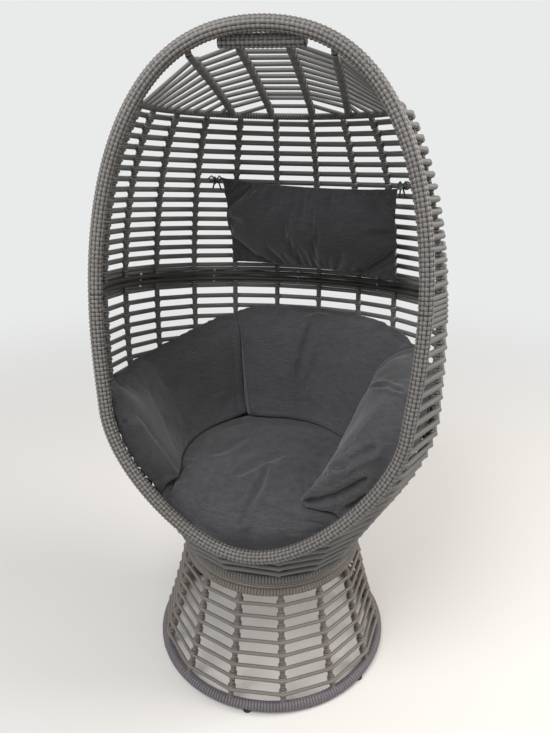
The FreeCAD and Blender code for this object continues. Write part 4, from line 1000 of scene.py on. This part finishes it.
# %% The solids that the covers keep to
pad_names = {"seat_pad": "seat_cushion", "left_pad": "left_side_cushion", "back_pad": "back_cushion",
             "right_pad": "right_side_cushion"}
covers = {name: merged_copy(node, name) for name, node in pad_names.items()}
solid_trees = {name: mathutils.bvhtree.BVHTree.FromObject(piece, bpy.context.evaluated_depsgraph_get())
               for name, piece in covers.items()}


# %% A cushion
edge_clear = 0.016


def cushion(name, voxel, drawn_in, folds, soft_end=None):
    """One cushion, from its solid. Its front end is smoothed soft_end times more."""
    piece = covers[name]
    seams = seam_tree(piece.data)
    remesh = piece.modifiers.new("remesh", "REMESH")
    remesh.mode = "VOXEL"
    remesh.voxel_size = voxel
    remesh.use_smooth_shade = True
    applied(piece)
    points = places(piece.data)
    rounded(piece, np.ones(len(points)), 2)
    if soft_end:
        from_axis = np.hypot(points[:, 0], points[:, 1] - axis_y)
        front = np.clip((-0.06 - points[:, 1]) / 0.05, 0, 1)
        rounded(piece, np.clip((0.335 - from_axis) / 0.03, 0, 1) * front, soft_end)
    points = places(piece.data)
    away = np.array([seams.find(p)[2] for p in points])
    beside = np.array([min(tree.find_nearest(p)[3] for other, tree in solid_trees.items() if other != name)
                       for p in points])
    for i in np.flatnonzero(beside < edge_clear):
        near = np.array(solid_trees[name].find_nearest(points[i])[0])
        points[i] += (near - points[i]) * min(1.0, (edge_clear - beside[i]) / 0.006)
    move_to(piece.data, points)
    free = np.clip((beside - 0.005) / 0.020, 0, 1) * np.clip((away - 0.004) / 0.018, 0, 1)
    move_to(piece.data, points - normals(piece.data) * (0.0005 + drawn_in * free)[:, None])
    blown(piece, free == 0, 4.0, 0.035, drawn_in)
    inside_solid(piece, solid_trees[name])
    lumpy(piece, 0.085, 0.005, free)
    pressed(piece, folds)
    made_finer(piece)
    inside_solid(piece, solid_trees[name])
    if name == "seat_pad":
        reached_out(piece, [tree for other, tree in solid_trees.items() if other != name], 0.009)
    covered(piece, pad_names[name], cushion_cloth)


# %% Seat cushion and left cushion
draw_in = 0.007
cushion("seat_pad", 0.0062, draw_in, [
    ([(-0.002, -0.081, 0.545), (-0.002, -0.151, 0.5445), (-0.008, -0.230, 0.540), (-0.014, -0.274, 0.5285),
      (-0.018, -0.297, 0.504)], 0.009, 0.013, 0.005),
    ([(-0.018, -0.298, 0.500), (0.060, -0.2985, 0.506), (0.132, -0.283, 0.505), (0.180, -0.250, 0.500)],
     0.006, 0.008, 0.003),
    ([(-0.200, -0.090, 0.540), (-0.214, -0.150, 0.533), (-0.217, -0.203, 0.5185), (-0.2165, -0.222, 0.497)],
     0.008, 0.011, 0.004),
    ([(-0.156, -0.046, 0.544), (-0.130, -0.016, 0.544), (-0.092, 0.052, 0.544)], 0.016, 0.006, 0.001),
    ([(-0.060, -0.130, 0.5446), (-0.021, -0.066, 0.5446), (0.020, -0.020, 0.5446)], 0.018, 0.007, 0.001),
])
cushion("left_pad", 0.0055, draw_in, [
    ([(-0.326, -0.238, 0.723), (-0.305, -0.240, 0.718), (-0.2905, -0.241, 0.7147)], 0.005, 0.007, 0.002),
    ([(-0.240, 0.219, 0.794), (-0.223, 0.220, 0.792), (-0.204, 0.217, 0.785), (-0.191, 0.210, 0.7706),
      (-0.184, 0.204, 0.752)], 0.006, 0.005, 0.002),
    ([(-0.257, -0.218, 0.621), (-0.277, -0.232, 0.610)], 0.006, 0.005, 0.002),
], soft_end=10)

# %% Back cushion and right cushion
cushion("back_pad", 0.0055, draw_in, [
    ([(0.063, 0.289, 0.827), (0.052, 0.266, 0.807), (0.028, 0.218, 0.693), (0.030, 0.206, 0.658)],
     0.013, 0.010, 0.004),
])
cushion("right_pad", 0.0055, draw_in, [
    ([(0.231, 0.012, 0.743), (0.280, -0.0575, 0.7845), (0.325, -0.122, 0.796)], 0.007, 0.009, 0.004),
    ([(0.169, -0.220, 0.645), (0.202, -0.232, 0.667), (0.2315, -0.230, 0.689), (0.256, -0.2265, 0.705),
      (0.2705, -0.225, 0.711)], 0.011, 0.020, 0.008),
    ([(0.117, -0.238, 0.555), (0.147, -0.238, 0.562), (0.1845, -0.238, 0.5776), (0.221, -0.238, 0.606),
      (0.250, -0.238, 0.633)], 0.011, 0.018, 0.008),
    ([(0.202, -0.238, 0.540), (0.236, -0.238, 0.569), (0.2566, -0.238, 0.5955)], 0.010, 0.015, 0.007),
    ([(0.265, -0.133, 0.770), (0.246, -0.160, 0.750), (0.216, -0.179, 0.7145), (0.211, -0.226, 0.682),
      (0.172, -0.238, 0.613)], 0.004, 0.003, 0.0015),
], soft_end=10)

# %% [markdown]
# ## The head pillow
# A pillow is two flat panels sewn together along their edges and then stuffed. It is made the same way:
# two grids, a tenth larger than their outline, share their border and are blown up. The middle swells,
# and the spare cloth puckers along the edges.


# %% The pillow's two panels
pillow_width, pillow_height, pillow_thickness, pillow_waist = 0.460, 0.232, 0.092, 0.93


def hung(points):
    """Flat pillow points (across, forward or back, up), leaned and turned to where the pillow hangs."""
    lean, turn = math.radians(12.0), math.radians(-14.6)
    y = points[:, 1] * math.cos(lean) - points[:, 2] * math.sin(lean)
    z = points[:, 1] * math.sin(lean) + points[:, 2] * math.cos(lean)
    across = points[:, 0] * math.cos(turn) - y * math.sin(turn)
    back = points[:, 0] * math.sin(turn) + y * math.cos(turn)
    return np.stack([0.050 + across, 0.206 + back + axis_y, mid_z + 0.110 + z], 1)


def sewn_panels(name, width, height, cell):
    """Two flat grids that share their border, the front one towards -y."""
    columns, rows = int(width / cell), int(height / cell)
    points, index = [], {}
    for side in (-1, 1):
        for i in range(columns + 1):
            for j in range(rows + 1):
                border = i in (0, columns) or j in (0, rows)
                key = (0 if border else side, i, j)
                if key in index:
                    continue
                index[key] = len(points)
                x, z = i / columns * 2 - 1, j / rows * 2 - 1
                ear = 0.004 * (x * z) ** 8
                waist = pillow_waist + (1 - pillow_waist) * x * x
                points.append((math.copysign(ear, x) + x * width / 2 * (0.985 + 0.015 * z * z),
                               0.0 if border else side * 0.012 * (1 - x * x) * (1 - z * z),
                               math.copysign(ear, z) + z * height / 2 * waist))

    def at(side, i, j):
        return index.get((side, i, j), index.get((0, i, j)))

    faces = []
    for side in (-1, 1):
        for i in range(columns):
            for j in range(rows):
                face = (at(side, i, j), at(side, i + 1, j), at(side, i + 1, j + 1), at(side, i, j + 1))
                faces.append(face if side < 0 else face[::-1])
    mesh = bpy.data.meshes.new(name)
    mesh.from_pydata(points, [], faces)
    return placed(name, mesh)


# %% Head pillow
pillow = sewn_panels("head_pad", pillow_width, pillow_height, 0.0055)
flat_points = places(pillow.data)
on_border = np.abs(flat_points[:, 1]) < 1e-7
blown(pillow, on_border, 5.0, 0.10, 0.070, frames=24)
flat_points = places(pillow.data)
thickness = np.ptp(flat_points[:, 1])
flat_points[:, 1] *= pillow_thickness / thickness
print("the pillow is", [round(float(v), 3) for v in np.ptp(flat_points, axis=0)], "before it is hung")
move_to(pillow.data, hung(flat_points))
corner_folds = [[(side * 0.205, -0.012, edge), (side * inner, -0.030, end)]
                for side, edge, inner, end in ((-1, 0.098, 0.165, 0.070), (-1, -0.096, 0.160, -0.070),
                                               (1, 0.098, 0.160, 0.072))]
pressed(pillow, [(hung(np.array(fold)), 0.006, 0.004, 0.002) for fold in corner_folds])
made_finer(pillow)
covered(pillow, "head_pillow", pillow_cloth)

# %% [markdown]
# ## Pillow ties
# A narrow tie at each upper corner goes round a strand of the wall and is knotted in a small bow. Each
# is a path of a few points, swept like the strands.


# %% Ties
tie_paths = []
for side, bay in ((-1, -2), (1, 3)):
    corner = hung(np.array([(side * pillow_width / 2, 0.0, pillow_height / 2)]))[0]
    bearing = bay * rib_spacing
    level = min(wall_levels, key=lambda z: abs(egg_point(z, bearing, strand_out)[2] - corner[2]))
    strand = egg_point(level, bearing, strand_out)
    along = egg_point(level, bearing + 0.5, strand_out) - egg_point(level, bearing - 0.5, strand_out)
    along /= np.linalg.norm(along)
    toward = corner - strand
    toward -= along * (toward @ along)
    toward /= np.linalg.norm(toward)
    upward = np.cross(along, toward)
    upward *= np.sign(upward[2])
    knot = strand + toward * 0.0102
    around = [strand + (toward * math.cos(t) + upward * math.sin(t)) * 0.0084
              for t in np.linspace(0, 2 * math.pi, 16, endpoint=False)]
    tie_paths.append((around, True))
    tie_paths.append(([knot, knot * 0.5 + corner * 0.5 - upward * 0.003, corner - toward * 0.002], False))
    for way, reach in ((-1, 0.020), (1, 0.016)):
        bow = [knot] + [knot + along * way * reach * share + upward * rise
                        for share, rise in ((0.6, 0.010), (1.0, 0.004), (0.7, -0.004))] + [knot]
        tail = [knot, knot + along * way * 0.007 + toward * 0.004 - upward * 0.010,
                knot + along * way * 0.012 + toward * 0.003 - upward * 0.026]
        tie_paths += [(bow, False), (tail, False)]
    tie_paths.append(([knot + way * 0.003 for way in (-along, upward, along, -upward)], True))
strands("pillow_tie_bows", tie_paths, "pod", ["pillow_ties"], pillow_cloth, 0.0021)
